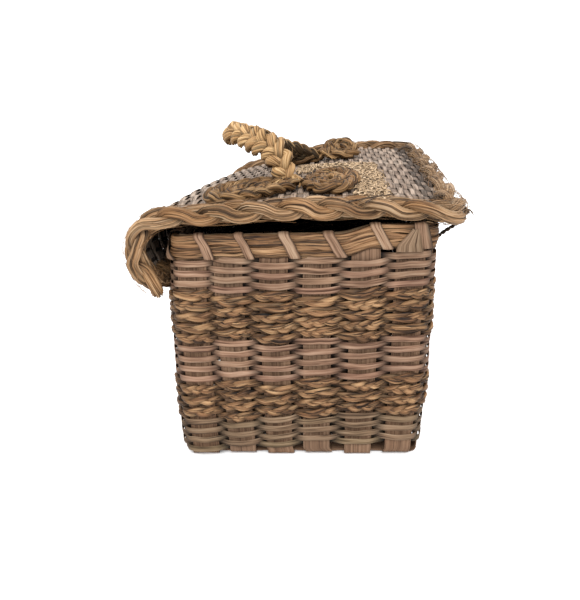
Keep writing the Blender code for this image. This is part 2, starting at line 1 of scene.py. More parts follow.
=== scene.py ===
"""Looks of a rectangular splint and grass sewing basket with a cord-hinged lid and a braided handle.

Metres, +Z up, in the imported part's frame: the near end looks along -Y and the lid is tied on +X.
"""

import math

import bpy
import numpy as np
from mathutils import Matrix, Vector


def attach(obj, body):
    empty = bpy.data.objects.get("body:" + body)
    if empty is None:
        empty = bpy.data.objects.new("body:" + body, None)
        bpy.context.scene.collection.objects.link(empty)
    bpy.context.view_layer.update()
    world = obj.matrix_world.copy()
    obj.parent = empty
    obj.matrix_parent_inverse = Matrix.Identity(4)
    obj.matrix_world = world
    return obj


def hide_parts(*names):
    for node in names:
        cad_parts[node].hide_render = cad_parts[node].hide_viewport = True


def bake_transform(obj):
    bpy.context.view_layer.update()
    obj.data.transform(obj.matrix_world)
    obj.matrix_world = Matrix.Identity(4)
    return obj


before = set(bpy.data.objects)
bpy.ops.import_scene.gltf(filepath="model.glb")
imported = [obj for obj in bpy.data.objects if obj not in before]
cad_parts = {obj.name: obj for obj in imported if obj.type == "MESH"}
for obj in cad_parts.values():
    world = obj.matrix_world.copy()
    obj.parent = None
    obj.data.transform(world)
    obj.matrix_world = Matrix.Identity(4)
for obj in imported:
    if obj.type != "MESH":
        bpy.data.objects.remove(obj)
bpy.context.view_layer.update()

MM = 0.001
TAU = math.tau
UP = np.array([0.0, 0.0, 1.0])

# Sizes of the part that the looks are built on
HALF_WIDTH, HALF_LENGTH, CORNER = 0.0702, 0.1272, 0.0043
SPLINT_WIDTH = 0.0158
END_PITCH, SIDE_PITCH = 0.0232, 0.023
ENDS, SIDES = 6, 11
WALL_START = 0.0048
ROW_PITCH = {"splint": 0.0031, "grass": 0.0034}
RIM_BOTTOM, RIM_TOP = 0.1283, 0.1412
RIM_LIFT, LIFT_START, LIFT_END = 0.0045, 0.018, 0.040
LID_HEIGHT, LID_RIGHT, LID_HALF = 0.1555, 0.089, 0.1317
LID_CROWN, CROWN_START = 0.005, 0.020
NEAR_OVERHANG, FAR_OVERHANG = 0.0233, 0.0148
FLAP_DROP = 0.037
NEAR_CURL, FAR_CURL = 0.022, 0.0335
NEAR_ANGLE, FAR_ANGLE = math.radians(112), math.radians(88)
LID_WIDTH = LID_RIGHT + HALF_WIDTH + NEAR_OVERHANG + FLAP_DROP
BRAID_INSET = 0.0084
LID_WEAVERS, LID_SPLINTS = 56, 14
LID_SPLINT_INSET = 0.0196
LID_SPLINT_PITCH = 2 * (LID_HALF - LID_SPLINT_INSET) / (LID_SPLINTS - 1)

# How an old basket has settled: its far corner sunk, its walls leaning and full
SINK_PLACES = np.array([-0.095, -0.075, -0.055, -0.035, -0.015, 0.005, 0.030, 0.060, 0.090])
FAR_SINK = np.array([22.0, 20.5, 18.5, 15.0, 10.5, 6.0, 3.0, 2.0, 0.5]) * MM
NEAR_SINK = np.array([3.0, 3.5, 3.0, 1.5, 0.5, 0.0, 0.0, 0.0, 0.0]) * MM
SINK_BEND = 1.72
FAR_TUCK, NEAR_TUCK = 0.0069, 0.0014
# How far the flap's free edge is drawn up and in at the near end, and the near hinge corner in
HEM_LIFT, HEM_TUCK, CORNER_TUCK = 0.0042, 0.0010, 0.0044
SWELL_HEIGHTS = np.array([0.0, 0.02, 0.06, 0.105, 0.125, 0.135, 0.150])
SWELL_LEAN = np.array([-2.6, -2.3, -1.0, -0.2, 1.1, 2.2, 2.2]) * MM
SWELL_FULL = np.array([0.7, 1.5, 3.2, 3.2, 3.2, 1.2, 1.2]) * MM


# Arrays and meshes


def unit(v):
    return v / np.maximum(np.linalg.norm(v, axis=-1, keepdims=True), 1e-12)


def smooth(x, low, high):
    t = np.clip((x - low) / (high - low), 0, 1)
    return t * t * (3 - 2 * t)


def firm(wave, sharp):
    """A wave from -1 to 1 held longer at its ends."""
    return np.tanh(sharp * wave) / math.tanh(sharp)


def ripple(rng, t, waves, count=1):
    """Smooth random waves over t, which runs 0 to 1 and closes; about 1 high, one row for each of count."""
    out = np.zeros((count, len(t)))
    for _ in range(5):
        turns = rng.integers(max(waves // 2, 1), waves * 2 + 1, count)
        out += np.sin(TAU * (turns[:, None] * t + rng.random(count)[:, None]))
    return (out if count > 1 else out[0]) / 2.2


def painted(tint, lit, seed):
    """A strand's three painted values: which shade it takes, how lit it is and its own seed."""
    return np.stack(np.broadcast_arrays(tint, lit, seed), -1)


def two_faced(upper, lower):
    """One closed section round a ribbon's two faces."""
    return np.concatenate([upper, lower[:, ::-1]], 1)


def section_run(section, first, scale, last):
    """Where a section's points lie on its texture, in mm."""
    return np.append(np.cumsum(np.abs(np.diff(section[:, 0], prepend=first))) * scale, last)


def ribbon_run(across, width, starts, last):
    """Where the points of a ribbon's two faces lie on its texture, in mm."""
    faces = [start + (across + 1) * width for start in starts]
    return np.concatenate([*faces, [last]])


def far_share(y):
    return np.clip((y + LID_HALF) / (2 * LID_HALF), 0, 1)


def sunk(points):
    """How far a wall, and the lid over it, have sunk towards the far corner away from the hinge."""
    return np.interp(points[..., 0], SINK_PLACES, FAR_SINK) * far_share(points[..., 1]) ** SINK_BEND


def lid_shift(points):
    """The lid's own settling: sunk like the wall, and at the near end too, with its flap tucked in."""
    x, share = points[..., 0], far_share(points[..., 1])
    out = np.zeros_like(points)
    out[..., 0] = (FAR_TUCK * share + NEAR_TUCK * (1 - share)) * np.clip((-x - 0.02) / 0.05, 0, 1)
    out[..., 2] = -sunk(points) - np.interp(x, SINK_PLACES, NEAR_SINK) * (1 - share)
    hem = smooth(-points[..., 2], -0.146, -0.112) * (x < -0.05) * (1 - share) ** 2
    out[..., 0] += HEM_TUCK * hem - CORNER_TUCK * smooth(x, 0.060, 0.090) * (1 - share) ** 4
    out[..., 2] += HEM_LIFT * hem
    return out


def swell(points):
    """The walls' lean and fullness: offsets to either side, and outwards at the ends, by height."""
    full = np.interp(points[..., 2], SWELL_HEIGHTS, SWELL_FULL)
    out = np.zeros_like(points)
    out[..., 0] = np.interp(points[..., 2], SWELL_HEIGHTS, SWELL_LEAN) + full * points[..., 0] / HALF_WIDTH
    out[..., 1] = 0.5 * full * points[..., 1] / HALF_LENGTH
    return out


def settled(points, body):
    if body == "basket":
        points = points + swell(points)
        return points - UP * (sunk(points) * np.clip(points[..., 2] / LID_HEIGHT, 0, 1.1))[..., None]
    if body == "lid":
        return points + lid_shift(points)
    if body == "handle":
        return points + lid_shift(points) * (1 - smooth(points[..., 2], 0.165, 0.185))[..., None]
    return points


QUAD = ((0, 0), (0, 1), (1, 1), (1, 0))


def placed(name, data):
    """A new object in the scene."""
    made = bpy.data.objects.new(name, data)
    bpy.context.scene.collection.objects.link(made)
    return made


def numbered(name, count):
    return [f"{name}_splint_{number + 1:02d}" for number in range(count)]


class Skin:
    """Quads gathered from grids of points, with a UV in millimetres and three painted values."""

    def __init__(self):
        self.points, self.faces, self.uvs, self.paint = [], [], [], []
        self.count = 0

    def grid(self, points, u, v, paint, along=False, across=False):
        """points (M, N, K, 3) or (N, K, 3); u (M, N) and v (K or K+1) in mm; along, across: closed."""
        points = points if points.ndim == 4 else points[None]
        m, n, k, _ = points.shape
        rows = n if along else n - 1
        cols = k if across else k - 1
        i, j = np.arange(rows)[:, None], np.arange(cols)
        quad = np.stack([(i + di) % n * k + (j + dj) % k for di, dj in QUAD], axis=-1)
        base = self.count + np.arange(m)[:, None, None, None] * n * k
        self.faces.append((quad[None] + base).reshape(-1, 4))
        u = np.broadcast_to(u, (m, n))
        u = np.concatenate([u, 2 * u[:, -1:] - u[:, -2:-1]], axis=1)[..., None]
        v = np.asarray(v, float)
        if across and len(v) == k:
            v = np.append(v, 2 * v[-1] - v[-2])
        corners = [np.broadcast_arrays(u[:, di : rows + di], v[dj : cols + dj]) for di, dj in QUAD]
        self.uvs.append(np.moveaxis(np.array(corners), (0, 1), (3, 4)).reshape(-1, 2))
        self.points.append(points.reshape(-1, 3))
        self.paint.append(np.broadcast_to(paint, (m, n, k, 3)).reshape(-1, 3))
        self.count += m * n * k

    def build(self, name, finish, body, slot, *nodes):
        points = settled(np.concatenate(self.points), body)
        faces = np.concatenate(self.faces)
        mesh = bpy.data.meshes.new(name)
        mesh.vertices.add(len(points))
        mesh.vertices.foreach_set("co", points.astype(np.float32).ravel())
        mesh.loops.add(4 * len(faces))
        mesh.loops.foreach_set("vertex_index", faces.astype(np.int32).ravel())
        mesh.polygons.add(len(faces))
        mesh.polygons.foreach_set("loop_start", np.arange(0, 4 * len(faces), 4, dtype=np.int32))
        mesh.update(calc_edges=True)
        mesh.validate()
        layer = mesh.uv_layers.new(name="run")
        layer.data.foreach_set("uv", np.concatenate(self.uvs).astype(np.float32).ravel())
        paint = mesh.attributes.new("paint", "FLOAT_COLOR", "POINT")
        colours = np.ones((len(points), 4), np.float32)
        colours[:, :3] = np.concatenate(self.paint)
        paint.data.foreach_set("color", colours.ravel())
        mesh.shade_smooth()
        mesh.materials.append(FINISHES[finish])
        made = placed(name, mesh)
        if body:
            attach(made, body)
        if nodes:
            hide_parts(*nodes)
        return made


def ahead_of(points, closed):
    if closed:
        return np.roll(points, -1, axis=-2) - np.roll(points, 1, axis=-2)
    return np.gradient(points, axis=-2)


def frames(points, ref, closed):
    """Tangents, and two directions across the run: the first as near ref as it goes."""
    t = unit(ahead_of(points, closed))
    a = unit(ref - np.sum(ref * t, -1, keepdims=True) * t)
    return t, a, np.cross(t, a)


def run_length(points):
    """Millimetres along each run."""
    step = np.linalg.norm(np.diff(points, axis=-2), axis=-1)
    zero = np.zeros(step.shape[:-1] + (1,))
    return np.concatenate([zero, np.cumsum(step, -1)], -1) / MM


def tubes(skin, points, ref, wide, thick, sides, paint, closed=False):
    """Oval tubes round runs of points (M, N, 3) or (N, 3); wide lies along ref and thick across it."""
    points = points if points.ndim == 3 else points[None]
    _, a, b = frames(points, ref, closed)
    turn = TAU * np.arange(sides) / sides
    wide = np.broadcast_to(wide, points.shape[:-1])[..., None, None]
    thick = np.broadcast_to(thick, points.shape[:-1])[..., None, None]
    grid = points[..., None, :] + a[..., None, :] * wide * np.cos(turn)[:, None]
    grid = grid + b[..., None, :] * thick * np.sin(turn)[:, None]
    v = np.arange(sides + 1) / sides * 4 * float(np.mean(wide)) / MM
    # The paint is one for all (3), one for each run (M, 3) or one for each point (M, N, 3)
    paint = np.asarray(paint, float)
    paint = np.expand_dims(paint, tuple(range(paint.ndim - 1, 3)))
    skin.grid(grid, run_length(points), v, paint, along=closed, across=True)


def spline(stops, steps, closed=False):
    """A smooth run of points through the stops."""
    p = np.asarray(stops, float)
    if closed:
        ends = np.concatenate([p[-1:], p, p[:2]])
    else:
        ends = np.concatenate([2 * p[:1] - p[1:2], p, 2 * p[-1:] - p[-2:-1]])
    b, h, t, a = ends[:-3, None], ends[1:-2, None], ends[2:-1, None], ends[3:, None]
    s = (np.arange(steps) / steps)[None, :, None]
    run = h + (t - b + (b * 2 - h * 5 + t * 4 - a + (h * 3 - b - t * 3 + a) * s) * s) * s / 2
    run = run.reshape(-1, p.shape[1])
    return run if closed else np.concatenate([run, p[-1:]])


def evenly(points, spacing, closed=False):
    """The same run with its points the same distance apart."""
    whole = np.concatenate([points, points[:1]]) if closed else points
    along = run_length(whole) * MM
    count = max(int(round(along[-1] / spacing)), 8)
    at = np.linspace(0, along[-1], count + 1)
    at = at[:-1] if closed else at
    return np.stack([np.interp(at, along, whole[:, k]) for k in range(whole.shape[1])], -1)


def route(stops, steps, spacing, closed=False):
    """An even run through the stops, and each point's share of the way."""
    run = evenly(spline(stops, steps, closed), spacing, closed)
    return run, np.arange(len(run)) / len(run)


def strand(skin, rng, run, start, end, sides=6, flat=1.0, tint=None):
    """A loose strand that thins from start to end, half its thickness in mm."""
    thick = np.linspace(start, end, len(run)) * MM
    tint = rng.random() if tint is None else tint
    tubes(skin, run, UP, thick, thick * flat, sides, (tint, 1.0, rng.random()))


# Braids


FIBRE_SECTION = np.array([(-1.0, -0.6), (-0.45, 0.5), (0.45, 0.5), (1.0, -0.6)])
FIBRE_RUN = np.array([0, 0.3, 0.7, 1.0])
CORE_LIT = 0.12
# How sharply a strand turns back at the braid's edge, and how firmly it stays over or under
TURN_BACK, OVER_SHARP = 0.965, 1.7
# How lit the fibres are, after the braid's own darkest, and the share of each
FIBRE_LIT, FIBRE_ODDS = (0.72, 0.88, 1.0), (0.16, 0.24, 0.3, 0.3)


def plait(
    skin, rng, centre, width_way, half_wide, half_thick, wavelength, blades, fray,
    closed=True, tone=0.0, dark=0.4, side_shade=0.0, lit_lift=0.0, pace=None,
):
    """A flat three-strand braid of grass round a run of points (N, 3): each strand is a bundle of fibres.

    The strands come to the top at the braid's middle and dive under from its edges. fray counts loose
    fibres per metre, tone shifts the shade, dark lights the darkest fibres, gloom paints shade on one
    side, pale paints all fibres more lit and pace says how fast the strands turn. Where the strands cross
    in the braid's middle they are painted in shade.
    """
    n = len(centre)
    _, w, h = frames(centre, width_way, closed)
    along = run_length(np.concatenate([centre, centre[:1]]) if closed else centre) * MM
    length = along[-1]
    share = along[:n] / length
    turns = max(round(length / wavelength), 1) if closed else length / wavelength
    half_wide, half_thick, tone = (np.broadcast_to(value, (n,)) for value in (half_wide, half_thick, tone))
    slant = math.atan(2.4 * half_wide.max() * turns / length)
    strand_wide = np.minimum(0.47 * half_wide, 0.62 * length / turns / 3 * math.sin(slant))
    strand_thick = 0.54 * half_thick
    went = share if pace is None else np.cumsum(pace) / np.sum(pace)
    theta = TAU * turns * went + 0.22 * ripple(rng, share, 6)
    for strand in range(3):
        phase = theta + TAU * strand / 3
        zigzag = np.arcsin(TURN_BACK * np.sin(phase)) / math.asin(TURN_BACK)
        sway = zigzag * (half_wide - 0.9 * strand_wide) * (1 + 0.07 * ripple(rng, share, 9))
        over = -firm(np.sin(2 * phase), OVER_SHARP)
        lift = over * (half_thick - strand_thick) * (1 - 0.3 * zigzag**2)
        line = centre + w * sway[:, None] + h * lift[:, None]
        wide = strand_wide * (1 - 0.26 * np.cos(phase) ** 6) * (1 + 0.06 * ripple(rng, share, 11))
        tint = rng.random()
        core = painted(np.clip(tint + tone, 0, 1), CORE_LIT, rng.random())
        tubes(skin, line, w, 0.80 * wide, 0.80 * strand_thick, 6, core[None], closed)
        # Fibres lie side by side round the strand
        ahead, a, b = frames(line, w, closed)
        turn = TAU * (np.arange(blades) + 0.5 * rng.random(blades)) / blades
        angle = turn[:, None] + 0.35 * np.sin(phase + rng.random() * 0.6)
        angle = angle + 0.16 * ripple(rng, share, 5, blades)
        radius = (0.86 + 0.10 * rng.random((blades, 1))) * (1 + 0.05 * ripple(rng, share, 7, blades))
        c, s = np.cos(angle), np.sin(angle)
        run = line + a * (c * radius * wide)[..., None] + b * (s * radius * strand_thick)[..., None]
        outward = unit(a * (c / wide)[..., None] + b * (s / strand_thick)[..., None])
        aside = np.cross(ahead, outward)
        girth = TAU * np.sqrt((wide**2 + strand_thick**2) / 2)
        breadth = girth / blades * (0.52 + 0.30 * rng.random((blades, 1)))
        breadth = breadth * (1 + 0.18 * ripple(rng, share, 8, blades))
        deep = girth.mean() / blades * (0.45 + 0.35 * rng.random((blades, 1)))
        grid = run[:, :, None] + aside[:, :, None] * (breadth[..., None] * FIBRE_SECTION[:, 0])[..., None]
        grid = grid + outward[:, :, None] * (deep[..., None] * FIBRE_SECTION[:, 1])[..., None]
        own = np.clip(tint + 0.6 * (rng.random((blades, 1)) - 0.5) + tone, 0, 1)
        shade = rng.choice([dark, *FIBRE_LIT], (blades, 1), p=FIBRE_ODDS)
        # Painted shade where the strands cross in the braid's middle
        crossing_shade = 1 - 0.72 * np.exp(-((zigzag / 0.22) ** 2)) * (1 - 0.5 * np.abs(over))
        lit = np.clip(shade * crossing_shade + 0.10 * ripple(rng, share, 12, blades), 0.05, 1)
        # Painted shade on one side of each strand
        lit = lit * (1 - side_shade * np.clip(0.35 + 1.5 * s, 0, 1))
        paint = painted(own, lit + (1 - lit) * lit_lift, rng.random((blades, 1)))
        v = FIBRE_RUN * (2 * float(breadth.mean()) / MM)
        skin.grid(grid, run_length(run), v, paint[:, :, None], along=closed)
    stray_fibres(skin, rng, centre, w, h, half_wide, half_thick, fray, length)


def stray_fibres(skin, rng, centre, w, h, half_wide, half_thick, per_metre, length, lightest=0.0):
    """Short loose fibres that lie along the braid's surface and lift at one end."""
    n = len(centre)
    steps = 9
    for _ in range(int(per_metre * length)):
        reach = int(rng.integers(max(n // 60, 4), max(n // 16, 6)))
        start = int(rng.integers(0, max(n - reach - 1, 1)))
        at = np.linspace(start, start + reach, steps).astype(int) % n
        angle = rng.random() * TAU + np.linspace(0, rng.normal() * 0.9, steps)
        rise = 1.02 + 0.25 * rng.random() * np.linspace(0, 1, steps) ** 2
        run = centre[at] + w[at] * (np.cos(angle) * half_wide[at] * rise)[:, None]
        run = run + h[at] * (np.sin(angle) * half_thick[at] * rise)[:, None]
        strand(skin, rng, run, 0.16, 0.048, 4, tint=lightest + (1 - lightest) * rng.random())


# Materials


STAIN_SCALE = 38.0
# How lit a surface painted 0 still is, and how glossy all are
LEAST_LIT, GLOSS = 0.07, 0.12


def grey(value):
    return (value,) * 3


def streaked(name, stops, alt_stops, streaks, rough, bump, cracks, patches, tone):
    """Fibrous finish: streaks along each strand, thin dark cracks, its own tint and soft darker patches.

    stops and alt_stops are (place, colour) ramps between which a strand's tint chooses;
    streaks is (along, across) in lines per millimetre.
    """
    made = bpy.data.materials.new(name)
    made.use_nodes = True
    tree = made.node_tree

    def fill(target, values):
        """Sets a node's inputs to numbers, or links what feeds them."""
        for socket, value in values.items():
            if isinstance(value, (int, float)):
                target.inputs[socket].default_value = value
            else:
                tree.links.new(value, target.inputs[socket])

    def node(kind, values, **settings):
        added = tree.nodes.new("ShaderNode" + kind)
        for setting, value in settings.items():
            setattr(added, setting, value)
        fill(added, values)
        return added.outputs

    def sums(operation, a, b, clamp=False):
        return node("Math", {0: a, 1: b}, operation=operation, use_clamp=clamp)["Value"]

    def swing(source, gain):
        """How far a noise is from its middle, times gain."""
        return sums("MULTIPLY", sums("SUBTRACT", source, 0.5), gain)

    def mixed(mode, fac, a, b):
        return node("Mix", {"Factor": fac, "A": a, "B": b}, data_type="RGBA", blend_type=mode)["Result"]

    def noise(vector, detail, roughness, distortion, scale=1.0):
        values = {"Scale": scale, "Detail": detail, "Roughness": roughness, "Distortion": distortion}
        return node("TexNoise", {"Vector": vector, **values})["Fac"]

    def ramp(source, ramp_stops):
        added = tree.nodes.new("ShaderNodeValToRGB")
        while len(added.color_ramp.elements) < len(ramp_stops):
            added.color_ramp.elements.new(0.5)
        for element, (place, colour) in zip(added.color_ramp.elements, ramp_stops):
            element.position = place
            element.color = (*colour, 1)
        fill(added, {"Fac": source})
        return added.outputs["Color"]

    uv = node("UVMap", {}, uv_map="run")["UV"]
    paint = node("Attribute", {}, attribute_name="paint")["Color"]
    tint, lit, seed = node("SeparateColor", {"Color": paint})
    apart = node("SeparateXYZ", {"Vector": uv})

    def stretched(along, across, shift):
        x, y = sums("MULTIPLY", apart["X"], along), sums("MULTIPLY", apart["Y"], across)
        return node("CombineXYZ", {"X": x, "Y": y, "Z": sums("MULTIPLY", seed, shift)})["Vector"]

    along, across = streaks
    fine = noise(stretched(along * 2, across * 3, 43.0), 2.0, 0.6, 0.2)
    broad = noise(stretched(along, across, 91.0), 2.0, 0.5, 0.3)
    crack = noise(stretched(along * 0.7, across * 1.5, 57.0), 1.0, 0.5, 0.2)
    stain = noise(node("TexCoord", {})["Object"], 3.0, 0.6, 0.0, STAIN_SCALE)
    value = sums("ADD", sums("ADD", swing(fine, 1.1), swing(broad, 1.5)), 0.5)
    chosen = sums("ADD", tint, swing(stain, 0.9), True)
    colour = mixed("MIX", chosen, ramp(value, stops), ramp(value, alt_stops))
    shades = ((0.0, grey(LEAST_LIT * 0.5)), (0.45, grey(0.5 + LEAST_LIT / 2)), (0.9, grey(1)))
    # Layers that darken the colour: cracks, stains, then the painted light and shade of the lit value
    for source, layer in (
        (crack, ((0.36, grey(1 - cracks)), (0.45, grey(1)))),
        (stain, ((0.32, grey(tone * (1 - patches))), (0.60, grey(tone)))),
        (lit, shades),
    ):
        colour = mixed("MULTIPLY", 1.0, colour, ramp(source, layer))
    low, high = rough
    roughness = sums("ADD", sums("MULTIPLY", fine, low - high), high)
    height = sums("MINIMUM", value, sums("MULTIPLY", crack, 1.6))
    normal = node("Bump", {"Strength": 1.0, "Distance": bump, "Height": height})["Normal"]
    inputs = {"Base Color": colour, "Roughness": roughness, "Normal": normal, "Specular IOR Level": GLOSS}
    fill(tree.nodes["Principled BSDF"], inputs)
    return made


def srgb(colour):
    """The light of a colour that is given as it looks, 0 to 255."""
    share = np.array(colour) / 255
    return np.where(share <= 0.04045, share / 12.92, ((share + 0.055) / 1.055) ** 2.4)


# How bright each channel of the colours below is taken, and where their ramps' stops lie
TONE = (0.437, 0.408, 0.407)
RAMP_PLACES = (0.15, 0.48, 0.85)
# Colours (dark, middle, light), the same of a second shade, then streaks per millimetre along and
# across, roughness, bump, cracks, patches and tone
LOOKS = {
    "pink_splint": (
        (98, 66, 50), (178, 138, 112), (214, 178, 150), (108, 80, 58), (182, 148, 118), (216, 188, 156),
        (0.03, 0.8), (0.55, 0.8), 0.00010, 0.10, 0.28, 0.78,
    ),
    "tan_splint": (
        (84, 67, 46), (162, 139, 104), (198, 174, 138), (96, 74, 54), (172, 142, 112), (206, 180, 148),
        (0.03, 0.8), (0.55, 0.8), 0.00010, 0.12, 0.28, 0.74,
    ),
    "stake_splint": (
        (122, 94, 73), (164, 130, 101), (190, 156, 125), (118, 92, 72), (166, 134, 106), (194, 162, 132),
        (0.012, 0.75), (0.55, 0.8), 0.00010, 0.16, 0.28, 0.76,
    ),
    "grey_splint": (
        (76, 63, 54), (162, 141, 122), (188, 168, 149), (86, 73, 61), (184, 169, 151), (208, 194, 176),
        (0.05, 0.9), (0.6, 0.85), 0.00008, 0.15, 0.22, 1.20,
    ),
    "brown_grass": (
        (40, 25, 14), (156, 115, 79), (208, 167, 121), (46, 30, 17), (176, 135, 93), (230, 193, 143),
        (0.04, 0.75), (0.42, 0.7), 0.00030, 0.70, 0.30, 0.87,
    ),
    "edge_grass": (
        (44, 26, 12), (166, 119, 72), (216, 169, 110), (58, 40, 25), (198, 161, 118), (238, 209, 168),
        (0.03, 0.8), (0.42, 0.7), 0.00015, 0.45, 0.28, 0.93,
    ),
    "plait_grass": (
        (40, 25, 12), (160, 118, 72), (218, 174, 118), (52, 34, 18), (184, 146, 98), (232, 198, 146),
        (0.03, 0.8), (0.42, 0.7), 0.00015, 0.45, 0.25, 0.85,
    ),
    "rim_grass": (
        (46, 29, 16), (160, 119, 81), (206, 166, 120), (52, 33, 19), (176, 136, 95), (220, 184, 138),
        (0.03, 0.7), (0.45, 0.75), 0.00025, 0.75, 0.35, 0.86,
    ),
    "straw_grass": (
        (78, 52, 26), (194, 154, 104), (232, 198, 144), (84, 58, 30), (204, 166, 112), (240, 212, 160),
        (0.03, 0.8), (0.42, 0.68), 0.00012, 0.20, 0.15, 1.21,
    ),
    "curl_grass": (
        (60, 42, 26), (196, 166, 124), (232, 206, 166), (60, 44, 30), (204, 178, 140), (238, 216, 182),
        (0.05, 1.0), (0.5, 0.75), 0.00010, 0.15, 0.15, 1.30,
    ),
    "dark_cord": (
        (26, 20, 15), (86, 72, 58), (138, 120, 98), (30, 24, 18), (98, 82, 66), (150, 130, 108),
        (0.5, 3.0), (0.6, 0.9), 0.00020, 0.40, 0.30, 1.0,
    ),
}


def add_finish(name, *look):
    colours = [tuple(srgb(shade) * TONE) for shade in look[:6]]
    first, second = (tuple(zip(RAMP_PLACES, shades)) for shades in (colours[:3], colours[3:]))
    return streaked(name, first, second, *look[6:])


FINISHES = {name: add_finish(name, *look) for name, look in LOOKS.items()}


# The walls' plan: distance runs round from the middle of the near end, towards +X first


END_FLAT = 2 * (HALF_WIDTH - CORNER)
SIDE_FLAT = 2 * (HALF_LENGTH - CORNER)
CORNER_RUN = CORNER * math.pi / 2
AROUND = 2 * (END_FLAT + SIDE_FLAT) + 4 * CORNER_RUN
# Straight stretches and corners by turns
STRETCHES = [END_FLAT / 2, CORNER_RUN, SIDE_FLAT, CORNER_RUN, END_FLAT, CORNER_RUN, SIDE_FLAT, CORNER_RUN]
STARTS = np.concatenate([[0], np.cumsum(STRETCHES)])


def ways(heading):
    """The way of travel along a wall that heads so, and the way out of it."""
    zero = np.zeros_like(heading)
    travel = np.stack([np.cos(heading), np.sin(heading), zero], -1)
    return travel, np.stack([np.sin(heading), -np.cos(heading), zero], -1)


def stretch_places():
    """Where each stretch of the plan starts."""
    places = [np.array([0.0, -HALF_LENGTH, 0.0])]
    for number, stretch in enumerate(STRETCHES):
        travel, outward = ways(np.array(number // 2 * math.pi / 2))
        step = (travel - outward) * CORNER if number % 2 else travel * stretch
        places.append(places[-1] + step)
    return np.array(places)


PLACES = stretch_places()


def wall(distance):
    """Points (…, 3) at height 0, outward normals and ways of travel at distances round the walls."""
    s = np.asarray(distance, float) % AROUND
    index = np.clip(np.searchsorted(STARTS, s, side="right") - 1, 0, len(STRETCHES))
    rest = s - STARTS[index]
    base = (index // 2) * math.pi / 2
    base_travel, base_outward = ways(base)
    travel, outward = ways(base + (index % 2) * rest / CORNER)
    straight = PLACES[index] + base_travel * rest[..., None]
    curved = PLACES[index] + (outward - base_outward) * CORNER
    return np.where((index % 2 == 0)[..., None], straight, curved), outward, travel


def round_walls(samples):
    """Distances right round, from the middle of the far end."""
    return (np.arange(samples) / samples + 0.5) * AROUND


def rim_lift(x):
    return RIM_LIFT * smooth(x, LIFT_START, LIFT_END)


HALF_TURN = END_FLAT / 2 + CORNER_RUN + SIDE_FLAT / 2
STAKE_TOP = 0.128
# How far the near end's stakes stand aside from an even spacing, at the base and under the rim
LEAN_LOW = np.array([0.7, 0.0, -0.6, -1.6, 0.0, 0.8]) * MM
LEAN_HIGH = np.array([-1.2, -5.0, -3.5, -2.8, -0.3, 0.2]) * MM
STAKE_LEAN = np.random.default_rng(11).normal(size=ENDS + 2 * SIDES) * 0.5 * MM
RIGHT_LEAN, FAR_LEAN, LEFT_LEAN = np.split(STAKE_LEAN, [SIDES, SIDES + ENDS])
END_PLACES = (np.arange(ENDS) - (ENDS - 1) / 2) * END_PITCH
SIDE_PLACES = (np.arange(SIDES) - (SIDES - 1) / 2) * SIDE_PITCH
# Each stake: its wall, its place along it, and how it leans
STAKES = [(0, x, low, high) for x, low, high in zip(END_PLACES, LEAN_LOW, LEAN_HIGH)]
STAKES += [(1, y, 0, lean) for y, lean in zip(SIDE_PLACES, RIGHT_LEAN)]
STAKES += [(2, -x, 0, lean) for x, lean in zip(END_PLACES[::-1], FAR_LEAN)]
STAKES += [(3, -y, 0, lean) for y, lean in zip(SIDE_PLACES[::-1], LEFT_LEAN)]


def stake_line(height):
    """Sorted distances of all stakes at a height, the first just past the near end's middle."""
    share = height / STAKE_TOP
    found = [side * HALF_TURN + place + low + (high - low) * share for side, place, low, high in STAKES]
    return np.sort(np.array(found) % AROUND)


def stake_index(distance, height):
    """How many stakes a distance has passed, as a smooth count: whole at a stake, half between two."""
    line = stake_line(height)
    spread = np.concatenate([line[-2:] - AROUND, line, line[:2] + AROUND])
    return np.interp(distance % AROUND, spread, np.arange(-2, len(line) + 2))


DRIFT_HEIGHTS = np.array([6, 27, 50, 75, 105, 125]) * MM
# Millimetres at those heights, one line for each stake of the near end
DRIFT = (
    (-0.4, -0.3, 2.0, 2.8, 3.2, 2.6),
    (0.2, 0.6, 1.6, 3.1, 2.2, 0.8),
    (2.4, 0.9, 2.0, 2.8, 1.1, 0.3),
    (4.4, 3.1, 2.8, 4.2, 1.2, 0.2),
    (4.7, 3.9, 3.4, 4.1, 2.3, 1.2),
    (4.9, 5.0, 5.5, 5.4, 5.6, 3.0),
)
# Along the sides: where the near end's drift fades out and the hinge side's lift comes in
FADE_START, FADE_END = -0.125, -0.02


def drift(point, height):
    """How far the rows ride up on the near end, fading along the sides."""
    column = np.clip(point[..., 0] / END_PITCH + (ENDS - 1) / 2, 0, ENDS - 1)
    left = np.floor(column).astype(int).clip(0, ENDS - 2)
    share = column - left
    levels = np.array([np.interp(height, DRIFT_HEIGHTS, line) for line in DRIFT])
    rise = levels[left] * (1 - share) + levels[left + 1] * share
    return rise * MM * (1 - smooth(point[..., 1], FADE_START, FADE_END))


# Woven walls


BANDS = (
    ("bottom_splint_weavers", 7, "splint", "tan_splint", "ash_tan"),
    ("lower_grass_weavers", 7, "grass", "brown_grass", "grass_brown"),
    ("middle_splint_weavers", 8, "splint", "pink_splint", "ash_pink"),
    ("upper_grass_weavers", 9, "grass", "brown_grass", "grass_brown"),
    ("top_splint_weavers", 7, "splint", "pink_splint", "ash_pink"),
)
LAST_ROW = sum(band[1] for band in BANDS) - 1
# Samples round, how far out a row lies over a stake and under it, how firmly, and how far it dips
SPLINT_PATH = (16 * len(STAKES), 1.45 * MM, -1.15 * MM, 2.2, 0.22 * MM)
GRASS_PATH = (12 * len(STAKES), 1.6 * MM, -1.4 * MM, 1.6, 0.35 * MM)
GRASS_WAVELENGTH = 0.026
SPLINT_SECTION = np.array(
    [(-1, 0.0), (-0.9, 0.30), (-0.35, 0.42), (0.35, 0.42), (0.9, 0.30), (1, 0.0), (0.5, -0.2), (-0.5, -0.2)]
)
SPLINT_LIT = np.array([0.62, 0.95, 1, 1, 1, 0.8, 0.2, 0.2])


